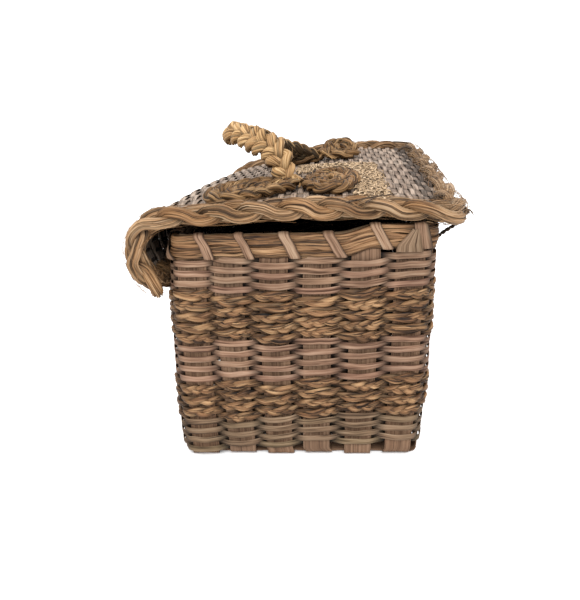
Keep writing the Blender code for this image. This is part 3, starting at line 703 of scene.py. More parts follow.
def row_path(rng, row, height, samples, over_out, under_out, sharp, dip):
    """Distances, base points, outward ways, heights and how far over (+1) or under (-1) a row runs."""
    s = round_walls(samples)
    point, outward, _ = wall(s)
    index = stake_index(s, height)
    over = np.cos(math.pi * (index + 1 + row % 2))
    share = s / AROUND
    lift = 0.20 * MM * ripple(rng, share, 17) + 0.12 * MM * ripple(rng, share, 40)
    raised = smooth(height, 0.02, RIM_BOTTOM) * smooth(point[:, 1], FADE_START, FADE_END)
    z = height + drift(point, height) + rim_lift(point[:, 0]) * raised + lift - dip * over
    bulge = np.interp(index, np.arange(-2, len(STAKES) + 2), rng.normal(size=len(STAKES) + 4))
    out = (over_out + under_out) / 2 + (over_out - under_out) / 2 * firm(over, sharp)
    out = out + 0.16 * MM * bulge * np.maximum(over, 0)
    return s, point, outward, z, out, over


def row_half(rng, share, over, base, swelling, bend, uneven, waves):
    """Half of a row's height: fuller over a stake, and a little where it crosses."""
    half = (base + swelling * np.maximum(over, 0) ** bend + 0.25 * (1 - np.abs(over))) * MM
    return half * (1 + uneven * ripple(rng, share, waves))


def splint_row(skin, rng, row, height, tint):
    s, point, outward, z, out, over = row_path(rng, row, height, *SPLINT_PATH)
    arch = 1.1 * MM * np.maximum(over, 0) ** 1.3
    centre = point + outward * (out + arch)[:, None] + UP * z[:, None]
    half = row_half(rng, s / AROUND, over, 1.70, 0.34, 0.7, 0.04, 30)
    tilt = 0.12 * over + 0.05 * ripple(rng, s / AROUND, 20)
    side = SPLINT_SECTION[:, 0] * half[:, None]
    face = SPLINT_SECTION[:, 1] * 0.85 * MM + side * tilt[:, None]
    grid = centre[:, None] + UP * side[..., None] + outward[:, None] * face[..., None]
    v = section_run(SPLINT_SECTION, -1.0, 1.6, 7.0)
    # Painted shade: darker where the row runs under a stake, on its edges and inner face, and lower down the
    # wall
    lit = np.clip(0.42 + over, 0.0, 1.0)[:, None] * SPLINT_LIT * (0.86 + 0.14 * height / RIM_BOTTOM)
    skin.grid(grid, s / MM, v, painted(tint, lit, rng.random()), along=True, across=True)


def grass_row(skin, rng, row, height):
    s, point, outward, z, out, over = row_path(rng, row, height, *GRASS_PATH)
    raised = np.maximum(over, 0)
    share = (s / AROUND) % 1
    half = row_half(rng, share, over, 2.2, 1.2, 0.8, 0.07, 34)
    deep = (1.1 + 0.75 * raised) * MM
    out = out + 0.9 * MM * raised
    turns = round(AROUND / GRASS_WAVELENGTH) + int(rng.integers(-1, 2))
    theta = TAU * (turns * share + rng.random()) + 0.9 * ripple(rng, share, 13)
    wide, thick = 0.52 * half, 0.60 * deep
    # Painted shade: darker where the row runs under a stake, and lower down the wall
    lit = np.clip(0.42 + 0.95 * over, 0.0, 1.0) * (0.84 + 0.16 * height / RIM_BOTTOM)
    blades = 2
    for strand in range(3):
        phase = theta + TAU * strand / 3
        sway = np.sin(phase) * (half - wide)
        rise = np.sin(2 * phase) * (deep - thick) * 1.2
        line = point + outward * (out + rise)[:, None] + UP * (z + sway)[:, None]
        tint = np.clip(rng.random() + 0.25 * ripple(rng, share, 18), 0, 1)
        # Painted light and shade: each strand lighter where it rises on top, darker where it sinks
        top = np.clip(lit * (0.66 + 0.46 * np.sin(2 * phase)), 0, 1)
        tubes(skin, line, UP, wide, thick, 8, painted(tint, top, rng.random())[None], closed=True)
        _, a, b = frames(line, UP, True)
        angle = math.pi * (0.35 + np.arange(blades)[:, None]) + 0.8 * np.sin(phase)
        angle = angle + 0.4 * ripple(rng, share, 34, blades)
        runs = line + a * (np.cos(angle) * wide * 0.72)[..., None]
        runs = runs + b * (np.sin(angle) * thick * 0.72)[..., None]
        paint = painted(tint, top, rng.random((blades, 1)))
        tubes(skin, runs, UP, 0.36 * wide, 0.42 * thick, 4, paint, closed=True)


def add_walls():
    height = WALL_START
    row = 0
    rng = np.random.default_rng(3)
    for name, rows, kind, look, slot in BANDS:
        skin = Skin()
        pitch = ROW_PITCH[kind]
        for _ in range(rows):
            if kind == "grass":
                grass_row(skin, rng, row, height + pitch / 2)
            else:
                # The top row is the warmest
                splint_row(skin, rng, row, height + pitch / 2, 1.0 if row == LAST_ROW else rng.random())
            height += pitch
            row += 1
        skin.build(name.replace("weavers", "rows"), look, "basket", slot, name)


# Base and stakes


# The base splints' middle height, the wave of their weaving and the bend at the walls' foot
BASE_LEVEL, BASE_WAVE, FOOT_BEND = 0.00105, 0.00046, 0.003
STAKE_FOOT = 0.004
STAKE_HALF_THICK, STAKE_CUP = 0.0004, 0.00018


def stake_run(others, half_span, sign):
    """A base splint and its two stakes from the side: distances along the base, and heights."""
    floor = np.linspace(-(half_span - FOOT_BEND), half_span - FOOT_BEND, 150)
    crossed = np.interp(floor, others, np.arange(len(others)))
    level = BASE_LEVEL + BASE_WAVE * sign * np.cos(math.pi * crossed)
    bend = np.radians(np.linspace(0, 90, 7))[1:]

    def heights(start):
        rise = start + FOOT_BEND * (1 - np.cos(bend))
        return np.append(rise, np.linspace(rise[-1], RIM_TOP - MM, 100)[1:])

    out = np.append(half_span - FOOT_BEND + FOOT_BEND * np.sin(bend), np.full(99, half_span))
    run = np.concatenate([-out[::-1], floor, out])
    return run, np.concatenate([heights(level[0])[::-1], level, heights(level[-1])])


def add_stakes():
    rng = np.random.default_rng(5)
    across = np.linspace(-1, 1, 7)
    v = ribbon_run(across, 8, (-8, 9), 26.0)
    for name, lengthwise, places, others, half_span in (
        ("crosswise", False, SIDE_PLACES, END_PLACES, HALF_WIDTH),
        ("lengthwise", True, END_PLACES, SIDE_PLACES, HALF_LENGTH),
    ):
        skin = Skin()
        for index, place in enumerate(places):
            run, rise = stake_run(others, half_span, (-1) ** index * (-1 if lengthwise else 1))
            up_share = np.clip((rise - STAKE_FOOT) / (STAKE_TOP - STAKE_FOOT), 0, 1.1)
            first, last = (rise > STAKE_FOOT) & (run < 0), (rise > STAKE_FOOT) & (run > 0)
            if lengthwise:
                near_lean = LEAN_LOW[index] * smooth(rise, 0.001, 0.006)
                near_lean = near_lean + (LEAN_HIGH - LEAN_LOW)[index] * up_share
                side = place + first * near_lean - last * FAR_LEAN[::-1][index] * up_share
            else:
                side = place + (last * RIGHT_LEAN[index] - first * LEFT_LEAN[::-1][index]) * up_share
            half = SPLINT_WIDTH / 2 * (1 - 0.02 * smooth(rise, 0.0, 0.12))
            half = half * (1 + 0.012 * ripple(rng, np.linspace(0, 1, len(run)), 9))
            profile = np.stack([run, rise], -1)
            ahead = np.gradient(profile, axis=0)
            normal = unit(np.stack([ahead[:, 1], -ahead[:, 0]], -1))
            faces = []
            for face in (STAKE_HALF_THICK, -STAKE_HALF_THICK):
                lift = face * (1 - 0.3 * across**4) + STAKE_CUP * across**2
                r = run[:, None] + normal[:, 0:1] * lift
                z = rise[:, None] + normal[:, 1:2] * lift
                s = side[:, None] + half[:, None] * across
                faces.append(np.stack([s, r, z] if lengthwise else [r, s, z], -1))
            paint = painted(rng.random(), 1.0, rng.random())
            skin.grid(two_faced(*faces), run_length(profile), v, paint, across=True)
        nodes = numbered(name, len(places))
        skin.build(f"{name}_stakes", "stake_splint", "basket", "ash_grey", *nodes)


# Rim


def lash_places():
    line = stake_line(STAKE_TOP)
    return (line + np.append(line[1:], line[0] + AROUND)) / 2


LASH_SLANT = 0.0075
LASH_GAPS = lash_places()
NEAR_CORNER = END_FLAT / 2 + CORNER_RUN / 2
# The bundle's layers: how far out, strands, half width in mm, inset, the foot's drop, how lit
BUNDLE = (
    (0.0036, 9, 1.05, 0.0008, 0.0, 1.0),
    (0.0024, 8, 1.2, 0.0004, 0.0010, 0.45),
    (0.0013, 7, 1.3, 0.0004, 0.0010, 0.45),
)
BUNDLE_FACE = 0.0007
HOOP_SECTION = np.array(
    [(0.0, 0.0), (0.15, 0.3), (0.5, 0.42), (0.85, 0.3), (1.0, 0.0), (0.85, -0.3), (0.5, -0.42), (0.15, -0.3)]
)
HOOP_FOOT = RIM_BOTTOM + 0.0012
HOOP_OUT, HOOP_THICK = -0.0013, 0.0014


def add_rim():
    rng = np.random.default_rng(8)
    s = round_walls(420)
    share = s / AROUND
    point, outward, _ = wall(s)
    lift = rim_lift(point[:, 0])
    squeeze = np.zeros(len(s))
    for gap in LASH_GAPS:
        away = (s - (gap - LASH_SLANT / 2) + AROUND / 2) % AROUND - AROUND / 2
        squeeze += np.exp(-((away / 0.004) ** 2))
    squeeze = np.clip(squeeze, 0, 1)
    skin = Skin()
    for out, count, wide, inset, drop, lit in BUNDLE:
        level = (np.arange(count) + 0.5) / count
        foot = RIM_BOTTOM + inset - drop
        z = (foot + level * (RIM_TOP - inset - foot))[:, None] + lift
        z = z + 0.55 * MM * ripple(rng, share, 10, count) + 0.25 * MM * ripple(rng, share, 30, count)
        stands = out * (1 - 0.35 * np.abs(2 * level - 1) ** 3)[:, None]
        stands = stands + 0.22 * MM * ripple(rng, share, 14, count)
        stands = BUNDLE_FACE + (stands - BUNDLE_FACE) * (1 - 0.22 * squeeze)
        runs = point + outward * stands[..., None] + UP * z[..., None]
        breadth = wide * MM * (0.8 + 0.4 * rng.random((count, 1)))
        breadth = breadth * (1 + 0.15 * ripple(rng, share, 20, count))
        paint = painted(rng.random(count), lit, rng.random(count))
        tubes(skin, runs, UP, breadth, 0.62 * MM, 6, paint, closed=True)
    skin.build("rim_bundle", "rim_grass", "basket", "ash_tan", "outer_rim_bundle")
    hoop = Skin()
    height = HOOP_FOOT + HOOP_SECTION[:, 0] * (RIM_TOP - HOOP_FOOT) + lift[:, None]
    out = HOOP_OUT + HOOP_SECTION[:, 1] * HOOP_THICK
    grid = point[:, None] + outward[:, None] * out[None, :, None] + UP * height[..., None]
    v = section_run(HOOP_SECTION, 0.0, 14, 29.0)
    hoop.grid(grid, s / MM, v, painted(0.4, 1.0, 0.3), along=True, across=True)
    hoop.build("inner_hoop", "tan_splint", "basket", "ash_tan", "inner_rim_hoop")
    add_lashing(rng)


LASH_INSIDE, LASH_OUTSIDE = -0.0024, 0.0047
# One turn: share of the way along, how far out, and height in fourteenths of the rim's
LASH_TURN = (
    (0.0, LASH_INSIDE, 0.4), (0.0, LASH_INSIDE + 0.0006, -0.5), (0.0, 0.0008, -1.0),
    (0.02, LASH_OUTSIDE - 0.0011, -0.55), (0.08, LASH_OUTSIDE - 0.0001, 1.0),
    (0.30, LASH_OUTSIDE + 0.0003, 4.0), (0.5, LASH_OUTSIDE + 0.0004, 7.0),
    (0.70, LASH_OUTSIDE + 0.0003, 10.0), (0.92, LASH_OUTSIDE - 0.0001, 13.0),
    (0.98, LASH_OUTSIDE - 0.0011, 14.5), (1.0, 0.0010, 15.0),
    (1.0, LASH_INSIDE + 0.0006, 14.4), (1.0, LASH_INSIDE, 13.2),
)
LASH_HALF, LASH_UNDER = 3.05 * MM, 0.10 * MM
LASH_CROWN = np.array([0.0, 0.16, 0.26, 0.30, 0.26, 0.16, 0.0]) * 1.1 * MM
# How lit the ribbon is painted across its width: painted shade at its edges and a painted shadow along one
LASH_SHADE = np.array([0.7, 1, 1, 1, 1, 0.9, 0.05])


def add_lashing(rng):
    skin = Skin()
    edge = np.linspace(-1, 1, 7)
    v = ribbon_run(edge, 2.5, (0, 5.2), 10.4)
    share, stands, rise = spline(LASH_TURN, 3).T
    for gap in LASH_GAPS[::-1]:
        cross = gap - LASH_SLANT + rng.normal() * 0.4 * MM
        if abs(gap - NEAR_CORNER) < 0.006:
            # The corner's turn stays on the near end
            gap, cross = NEAR_CORNER - 0.0045, NEAR_CORNER - 0.0060
        along = gap + (cross - gap) * share
        point, outward, travel = wall(along)
        lift = rim_lift(point[:, 0])
        level = RIM_BOTTOM + rise * (RIM_TOP - RIM_BOTTOM) / 14 + lift
        run = point + outward * stands[:, None] + UP * level[:, None]
        half = LASH_HALF * (1 + 0.06 * rng.normal())
        # The ribbon's edges follow the wall where it turns
        place, side_out, _ = wall(along[:, None] + edge * half)
        rows = place + side_out * stands[:, None, None] + UP * level[:, None, None]
        # Its face looks away from the rim's middle
        middle = point + outward * 0.0012 + UP * (RIM_BOTTOM + 7 * MM + lift)[:, None]
        face = np.cross(travel, unit(np.gradient(run, axis=0)))
        inwards = np.sum(face * (run - middle), -1, keepdims=True) < 0
        face = unit(np.where(inwards, -face, face))[:, None]
        grid = two_faced(rows + face * LASH_CROWN[None, :, None], rows - face * LASH_UNDER)
        # Painted shade at the ribbon's edges, and a painted shadow line along one edge
        edge_shade = np.concatenate([LASH_SHADE, LASH_SHADE[::-1]])
        paint = painted(0.7 + 0.3 * rng.random(), edge_shade, rng.random())
        skin.grid(grid, run_length(run), v, paint, across=True)
    skin.build("rim_lashings", "pink_splint", "basket", "ash_pink", "rim_lashing")


# Lid


def curl_at(y):
    """How far across the lid's flat part reaches, the curl's radius and its whole angle."""
    share = (y + LID_HALF) / (2 * LID_HALF)
    radius = NEAR_CURL + (FAR_CURL - NEAR_CURL) * share * share
    overhang = NEAR_OVERHANG + (FAR_OVERHANG - NEAR_OVERHANG) * share
    angle = NEAR_ANGLE + (FAR_ANGLE - NEAR_ANGLE) * share
    return LID_RIGHT + HALF_WIDTH + overhang - radius, radius, angle


def lid(across, y):
    """Points under the lid's skin and the ways out of it, at distances across it and along y."""
    across, y = np.broadcast_arrays(np.asarray(across, float), np.asarray(y, float))
    flat, radius, full = curl_at(y)
    x = LID_RIGHT - across
    crown = np.maximum(x - CROWN_START, 0) / (LID_RIGHT - CROWN_START)
    slope = 2 * LID_CROWN * crown / (LID_RIGHT - CROWN_START)
    on_flat = across <= flat
    angle = np.clip((across - flat) / radius, 0, full)
    rest = np.maximum(across - flat - angle * radius, 0)
    sine, cosine = np.sin(angle), np.cos(angle)
    px = np.where(on_flat, x, LID_RIGHT - flat - radius * sine - rest * cosine)
    fall = np.where(on_flat, LID_CROWN * crown**2, radius * (1 - cosine) + rest * sine)
    out = [np.where(on_flat, slope, -sine), np.zeros_like(x), np.where(on_flat, 1.0, cosine)]
    return np.stack([px, y, LID_HEIGHT - fall], -1), unit(np.stack(out, -1))


WEAVER_SECTION = np.array([(-1, 0.0), (-0.55, 0.30), (0, 0.42), (0.55, 0.30), (1, 0.0), (0, -0.22)])
WEAVER_RUN = np.array([0, 0.7, 1.4, 2.1, 2.8, 4.2, 5.6])
WEAVERS_START, WEAVERS_END = BRAID_INSET - 0.0040, LID_WIDTH - BRAID_INSET + 0.0042
WEAVER_PITCH = (WEAVERS_END - WEAVERS_START) / LID_WEAVERS
LID_STAKE_PLACES = (np.arange(LID_SPLINTS) - (LID_SPLINTS - 1) / 2) * LID_SPLINT_PITCH
LID_STAKE_HALF = 7.7 * MM
# Weavers under the hinge side's braid, and how lit they are
SHADED_WEAVERS, SHADED_LIT = 3, 0.25


def add_lid_panel():
    rng = np.random.default_rng(21)
    edge = LID_HALF - BRAID_INSET + 0.005
    skin = Skin()
    samples = 12 * LID_SPLINTS + 1
    y = np.linspace(-edge, edge, samples)
    share = np.linspace(0, 1, samples)
    index = (y - LID_STAKE_PLACES[0]) / LID_SPLINT_PITCH
    for number in range(LID_WEAVERS):
        over = np.cos(math.pi * (index + number))
        lift = (0.30 + 0.72 * firm(over, 2.2) + 0.25 * np.maximum(over, 0)) * MM
        lift = lift + 0.06 * MM * ripple(rng, share, 12)
        middle = WEAVERS_START + (number + 0.5) * WEAVER_PITCH + 0.12 * MM * ripple(rng, share, 6)
        half = 0.5 * WEAVER_PITCH + 0.07 * MM + 0.10 * MM * smooth(middle, 0.130, 0.150)
        half = half * (1 + 0.02 * ripple(rng, share, 20))
        place, out = lid(middle[:, None] + WEAVER_SECTION[:, 0] * half[:, None], y[:, None])
        grid = place + out * (lift[:, None] + WEAVER_SECTION[:, 1] * 0.8 * MM)[..., None]
        lit = np.clip(0.74 + 1.5 * over, 0.10, 1) * (SHADED_LIT if number < SHADED_WEAVERS else 1.0)
        # Weavers down the flap take the lighter shade: a painted highlight where the flap faces up to the
        # light
        own = np.clip(0.2 + rng.random() * 0.5 + 0.4 * smooth(middle, 0.120, 0.160), 0, 1)
        paint = painted(own[:, None], lit[:, None], rng.random())
        skin.grid(grid, (y + edge) / MM, WEAVER_RUN, paint, across=True)
    skin.build("lid_weavers", "grey_splint", "lid", "ash_grey", "lid_weave")
    skin = Skin()
    run = np.linspace(BRAID_INSET - 0.0042, LID_WIDTH - BRAID_INSET + 0.0045, 160)
    share = np.linspace(0, 1, len(run))
    across = np.linspace(-1, 1, 5)
    v = ribbon_run(across, 6, (0, 13), 26.0)
    for number, stake_y in enumerate(LID_STAKE_PLACES):
        over = -np.cos(math.pi * ((run - WEAVERS_START) / WEAVER_PITCH - 0.5 + number))
        lift = (-0.25 * MM + 0.16 * MM * over)[:, None]
        half = LID_STAKE_HALF * (1 + 0.02 * ripple(rng, share, 7))
        place, out = lid(run[:, None], stake_y + half[:, None] * across)
        top = place + out * (lift + 0.35 * MM - 0.12 * MM * across**4)[..., None]
        low = place + out * (lift - 0.35 * MM)[..., None]
        paint = painted(rng.random(), 0.7, rng.random())
        skin.grid(two_faced(top, low), run / MM, v, paint, across=True)
    skin.build("lid_stakes", "grey_splint", "lid", "ash_grey", *numbered("lid", LID_SPLINTS))


def edge_route(spacing):
    """The edge braid's middle as (across, y), round the lid from its far hinge corner."""
    corner = BRAID_INSET
    far_across, far_y = LID_WIDTH - corner, LID_HALF - corner
    run = []
    for number, centre in enumerate(
        ((corner, far_y), (far_across, far_y), (far_across, -far_y), (corner, -far_y))
    ):
        start = math.pi - number * math.pi / 2
        angles = np.linspace(start, start - math.pi / 2, 7)
        run += [np.array(centre) + corner * np.array([math.cos(a), math.sin(a)]) for a in angles]
    return evenly(np.array(run), spacing, closed=True)


EDGE_HALF_WIDE, EDGE_HALF_THICK, EDGE_WAVELENGTH = 0.0074, 0.0062, 0.078
# How far the braid broadens, and is drawn in, towards the near hinge corner
EDGE_BROADER, EDGE_DRAWN_IN = 0.34, 0.0022


def add_edge_braid():
    rng = np.random.default_rng(31)
    flat = edge_route(0.0024)
    place, out = lid(flat[:, 0], flat[:, 1])
    centre = place + out * 0.0005
    step = unit(ahead_of(flat, True)) * MM
    ahead = lid(flat[:, 0] + step[:, 0], flat[:, 1] + step[:, 1])[0] - place
    side = unit(np.cross(ahead, out))
    share = np.arange(len(flat)) / len(flat)
    near_right = smooth(centre[:, 0], 0.015, 0.060) * smooth(-centre[:, 1], 0.100, 0.120)
    half_wide = EDGE_HALF_WIDE * (1 + 0.06 * ripple(rng, share, 12)) * (1 + EDGE_BROADER * near_right)
    centre[:, 1] += EDGE_DRAWN_IN * near_right
    half_thick = EDGE_HALF_THICK * (1 + 0.06 * ripple(rng, share, 15))
    hinge_side = smooth(centre[:, 0], 0.070, 0.086) * 0.9
    slow = 1 - 0.45 * smooth(centre[:, 0], 0.060, 0.080)
    skin = Skin()
    # The hinge side's braid takes its lighter second shade and is painted more lit
    plait(
        skin, rng, centre, side, half_wide, half_thick, EDGE_WAVELENGTH, 26, 260,
        tone=hinge_side, dark=0.3, lit_lift=0.6 * hinge_side, pace=slow,
    )
    # The hinge side's braid is the most worn
    frayed = centre[:, 0] > 0.078
    wide, thick = half_wide[frayed], half_thick[frayed]
    order = np.argsort(centre[frayed][:, 1])
    run, across, up = (points[frayed][order] for points in (centre, side, out))
    stray_fibres(skin, rng, run, across, up, wide, thick, 1500, 0.25, lightest=0.75)
    skin.build("edge_braid", "edge_grass", "lid", "grass_brown", "lid_edge_braid")


# Handle and ornament


HANDLE_SPAN, HANDLE_REACH, HANDLE_RISE = 0.1146, 0.0470, 0.0236
HANDLE_AT = np.array([-0.0004, -0.0098, 0.16075])
HANDLE_TURN = math.radians(-7.8)
# The handle's run in shares of its reach, span and rise
HANDLE_ROUTE = (
    (0, -0.5, 0), (0.10, -0.476, 0.38), (0.23, -0.42, 0.70), (0.58, -0.318, 0.95), (1, -0.15, 1),
    (0.79, 0.08, 0.80), (0.53, 0.28, 0.44), (0.22, 0.434, 0.20), (0, 0.5, 0),
)
HANDLE_WIDE, HANDLE_THICK, HANDLE_WAVELENGTH = 0.0087, 0.0044, 0.0245
TIP_LIFT = 0.0011


def turned(points, angle, at):
    c, s = math.cos(angle), math.sin(angle)
    spin = np.array([[c, -s, 0], [s, c, 0], [0, 0, 1]])
    return points @ spin.T + at


def add_handle():
    rng = np.random.default_rng(41)
    stops = np.array(HANDLE_ROUTE) * np.array([-HANDLE_REACH, HANDLE_SPAN, HANDLE_RISE])
    run = turned(route(stops, 12, MM)[0], HANDLE_TURN, HANDLE_AT)
    share = np.linspace(0, 1, len(run))
    from_foot = np.minimum(share, 1 - share)
    middle = np.array([HANDLE_AT[0], run[:, 1].mean(), HANDLE_AT[2] - 0.02])
    side = unit(np.cross(unit(np.gradient(run, axis=0)), unit(run - middle)))
    grow = 0.90 + 0.10 * smooth(from_foot, 0, 0.12)
    # The far leg is drawn in, and its inner side is painted in shade
    far_leg = smooth(run[:, 1], -0.014, 0.006)
    # The plait is gathered where it enters the ornament, which leaves it room to tilt
    foot = 0.60 + 0.40 * smooth(from_foot, 0.0, 0.055)
    tip = smooth(-run[:, 0], 0.030, 0.044)
    run = run + UP * (TIP_LIFT * tip)[:, None]
    wide = HANDLE_WIDE * grow * foot * (1 - 0.22 * far_leg - 0.17 * tip)
    thick = HANDLE_THICK * grow * (1 - 0.10 * far_leg)
    skin = Skin()
    plait(skin, rng, run, side, wide, thick, HANDLE_WAVELENGTH, 12, 60, closed=False, side_shade=0.93 * far_leg)
    skin.build("handle_plait", "straw_grass", "handle", "grass_straw", "handle_braid")


# Loops beside the near foot as (x, y) in millimetres, from the foot round
LOOPS = {
    "left": (
        (-7, -72), (-18, -63), (-33, -62), (-47, -72), (-54, -90),
        (-52, -104), (-41, -110), (-27, -104), (-15, -92), (-8, -82),
    ),
    "right": (
        (4.5, -74), (7, -58), (11, -43), (18, -34), (27, -39),
        (31, -56), (29, -77), (23, -94), (14, -98), (7.5, -88),
    ),
}
NEAR_FOOT = np.array([HANDLE_AT[0] - 0.0078, -0.0666])
FAR_FOOT = np.array([HANDLE_AT[0] + 0.0078, 0.0470])
# The far loops' size beside the near ones; how the far right one is squeezed, folded and stands off
FAR_LOOP_SIZE = 0.85
FOLD_WIDE, FOLD_LONG, FOLD_AT, FOLD_STANDS = 0.86, 0.42, 0.075, 0.0075
INNER_LOOP = 0.46


def add_ornaments():
    rng = np.random.default_rng(51)
    for foot in ("near", "far"):
        for side in ("left", "right"):
            stops = np.array(LOOPS[side]) * MM
            if foot == "far":
                # The far loops are the near ones turned over to the other end, and smaller
                stops = FAR_FOOT + (stops - NEAR_FOOT) * (FAR_LOOP_SIZE, -FAR_LOOP_SIZE)
            flat, share = route(stops, 12, 0.0011, closed=True)
            stands = np.zeros(len(flat))
            if (foot, side) == ("far", "right"):
                # This loop lies folded towards the far end and stands off the panel
                stands = FOLD_STANDS * smooth(flat[:, 1], 0.030, 0.072)
                pinned = np.array([FAR_FOOT[0], FOLD_AT])
                flat = pinned + (flat - pinned) * (FOLD_WIDE, FOLD_LONG)
            place, out = lid(LID_RIGHT - flat[:, 0], flat[:, 1])
            run = place + out * (0.0047 + stands)[:, None]
            skin = Skin()
            wide = 0.0050 * (1 + 0.08 * ripple(rng, share, 9))
            flat_way = unit(np.cross(ahead_of(run, True), UP))
            plait(skin, rng, run, flat_way, wide, 0.0033, 0.030, 12, 120, dark=0.2)
            middle = run.mean(axis=0)
            inner = evenly(middle + (run - middle) * INNER_LOOP, 0.0012, closed=True)
            flat_way = unit(np.cross(ahead_of(inner, True), UP))
            plait(skin, rng, inner, flat_way, 0.0040, 0.0024, 0.022, 8, 150, dark=0.2)
            name = f"{foot}_{side}_ornament"
            skin.build(name + "_plait", "plait_grass", "lid", "grass_brown", name)


def add_foot_fans():
    """Straw ends that spread over the panel from the handle's feet."""
    rng = np.random.default_rng(46)
    skin = Skin()
    step = np.linspace(0.0, 1.0, 12)
    for (x, y), facing in ((NEAR_FOOT, -1), (FAR_FOOT, 1)):
        for heading in np.linspace(-1.75, 1.75, 26):
            heading = heading + 0.12 * rng.normal()
            reach = (8 + 8 * rng.random()) * MM * (1.15 - 0.25 * abs(heading))
            turn = heading + 0.5 * rng.normal() * step
            across = x + np.sin(turn) * reach * step + np.sin(heading) * 0.004
            place, out = lid(LID_RIGHT - across, y + facing * np.cos(turn) * reach * step)
            rise = 0.0052 + 0.0035 * (1 - step) ** 2 - 0.0024 * step**2
            run = place + out * (rise * (0.9 + 0.2 * rng.random()))[:, None]
            wide = (0.75 + 0.5 * rng.random()) * MM * np.linspace(1.0, 0.55, len(step))
            flat_way = np.array([math.cos(heading), -facing * math.sin(heading), 0.0])
            paint = (rng.random(), 0.7 + 0.3 * rng.random(), rng.random())
            tubes(skin, run, flat_way, wide, 0.45 * MM, 6, paint)
    skin.build("foot_straws", "straw_grass", "lid", "grass_straw")


def add_hem_bristles():
    """The cut ends of weavers and grass that stand out under the flap's near corner."""
    rng = np.random.default_rng(91)
    skin = Skin()
    step = np.linspace(0, 1, 6)[:, None]
    for _ in range(190):
        y = -LID_HALF + BRAID_INSET + abs(rng.normal()) * 0.020
        across = LID_WIDTH - BRAID_INSET + (rng.random() * 5 - 3) * MM
        place, out = lid(across, y)
        way = unit(lid(across + MM, y)[0] - place) + 0.28 * rng.normal(size=3) - 0.25 * out
        reach = (5 + 5 * rng.random()) * MM
        run = place - out * (1.5 * rng.random() * MM) + unit(way) * reach * step
        run = run + UP * (0.0012 * rng.normal() * step**2)
        thick = (0.30 + 0.2 * rng.random()) * MM * np.linspace(1, 0.45, len(step))
        paint = (rng.random(), 0.35 + 0.4 * rng.random(), rng.random())
        tubes(skin, run, out, thick, thick, 4, paint)
    skin.build("hem_bristles", "plait_grass", "lid", "grass_brown")


# Where the curls stand, as (x, y) corners in millimetres, and how far apart
CURL_PATCHES = (((-4, -14), (50, 24)), ((34, -112), (51, -14)))
CURL_PITCH = 2.8


def add_curls():
    """Small curls of grass that stand up from the panel beside the ornament."""
    rng = np.random.default_rng(71)
    skin = Skin()
    turn = np.linspace(-0.2, 1.25, 10) * math.pi
    spots = []
    for low, high in CURL_PATCHES:
        columns = np.arange(low[0], high[0], CURL_PITCH)
        spots += [(x, y) for x in columns for y in np.arange(low[1], high[1], CURL_PITCH)]
    for spot in spots:
        spot = (np.array(spot) + rng.normal(size=2) * 0.7) * MM
        place, out = lid(LID_RIGHT - spot[0], spot[1])
        heading = rng.random() * TAU
        way = np.array([math.cos(heading), math.sin(heading), 0])
        across = np.cross(out, way)
        size = (1.7 + 0.9 * rng.random()) * MM
        run = place + out * (0.0009 + size * 0.9 * (0.55 + 0.45 * np.sin(turn)))[:, None]
        run = run + way * (size * np.cos(turn))[:, None] + across * (0.5 * size * turn / math.pi)[:, None]
        wide = (0.62 + 0.3 * rng.random()) * MM
        paint = (0.5 + 0.5 * rng.random(), 0.8 + 0.2 * rng.random(), rng.random())
        tubes(skin, run, across, wide, 0.16 * MM, 5, paint)
    skin.build("panel_curls", "curl_grass", "lid", "grass_straw")


TWIGS = (
    ((0.026, -0.1375, 0.1600), (0.038, -0.1372, 0.1622), (0.053, -0.1360, 0.1638)),
    ((0.036, -0.1385, 0.1598), (0.040, -0.1378, 0.1618), (0.046, -0.1366, 0.1640)),
)
TIP_MIDDLE, TIP_HEIGHT = 0.0575, 0.0125


def add_details():
    """A loose dark twig in the near braid, and a stake's trimmed tip outside the rim."""
    rng = np.random.default_rng(81)
    skin = Skin()
    for stops in TWIGS:
        strand(skin, rng, route(stops, 8, MM)[0], 0.55, 0.25, flat=0.7)
    skin.build("loose_twig", "dark_cord", "lid", "cord_dark")
    skin = Skin()
    level = np.linspace(0, 1, 16)[:, None]
    left = TIP_MIDDLE + np.interp(level, (0, 0.3, 0.92, 1.0), (-7.2, -6.4, 0.6, 1.4)) * MM
    right = TIP_MIDDLE + np.interp(level, (0, 1.0), (7.2, 5.6)) * MM
    across = np.linspace(-1, 1, 9)
    x = (left + right) / 2 + across * (right - left) / 2
    z = RIM_BOTTOM + rim_lift(0.058) - 0.0018 + level * TIP_HEIGHT + 0.0004 * np.sin(5 * across) * level**3
    face = 0.0051 + 0.0005 * np.sin(math.pi * level) - 0.0004 * across**2
    front, back = (np.stack([x, -HALF_LENGTH - face - shift, z], -1) for shift in (0.0003, -0.0003))
    v = ribbon_run(across, 7, (-7, 8), 23.0)
    skin.grid(two_faced(front, back), level[:, 0] * TIP_HEIGHT / MM, v, painted(0.9, 0.95, 0.4), across=True)
    skin.build("trimmed_tip", "tan_splint", "basket", "ash_grey")


# Ties


# The cord's loop as (x, z) in mm: out under the rim, up to its knot, round the braid and back inside
TIE_LOOP = (
    (74.5, 128.6), (78.2, 130.6), (83.0, 134.2), (88.8, 138.0), (93.6, 141.6), (95.4, 145.6),
    (94.0, 149.8), (90.0, 153.2), (85.4, 155.4), (80.4, 156.0), (76.2, 153.8), (73.4, 149.4),
    (70.2, 146.4), (67.2, 144.4), (65.2, 140.6), (64.9, 135.0), (66.4, 130.4), (70.0, 128.4),
)
# A loose end of it from its knot, in mm
CORD_END = ((0, 0, 0), (1.6, 1.2, 0.6), (3.4, 1.6, 0.2), (4.4, 2.8, -1.6))
TIE_PLACE = 4.5 * SIDE_PITCH
KNOT_X, KNOT_Z = 0.0950, 0.1466
CORD_APART, PLY_APART, PLY_HALF, KNOT_CORD_HALF = 0.95 * MM, 0.34 * MM, 0.62 * MM, 0.85 * MM


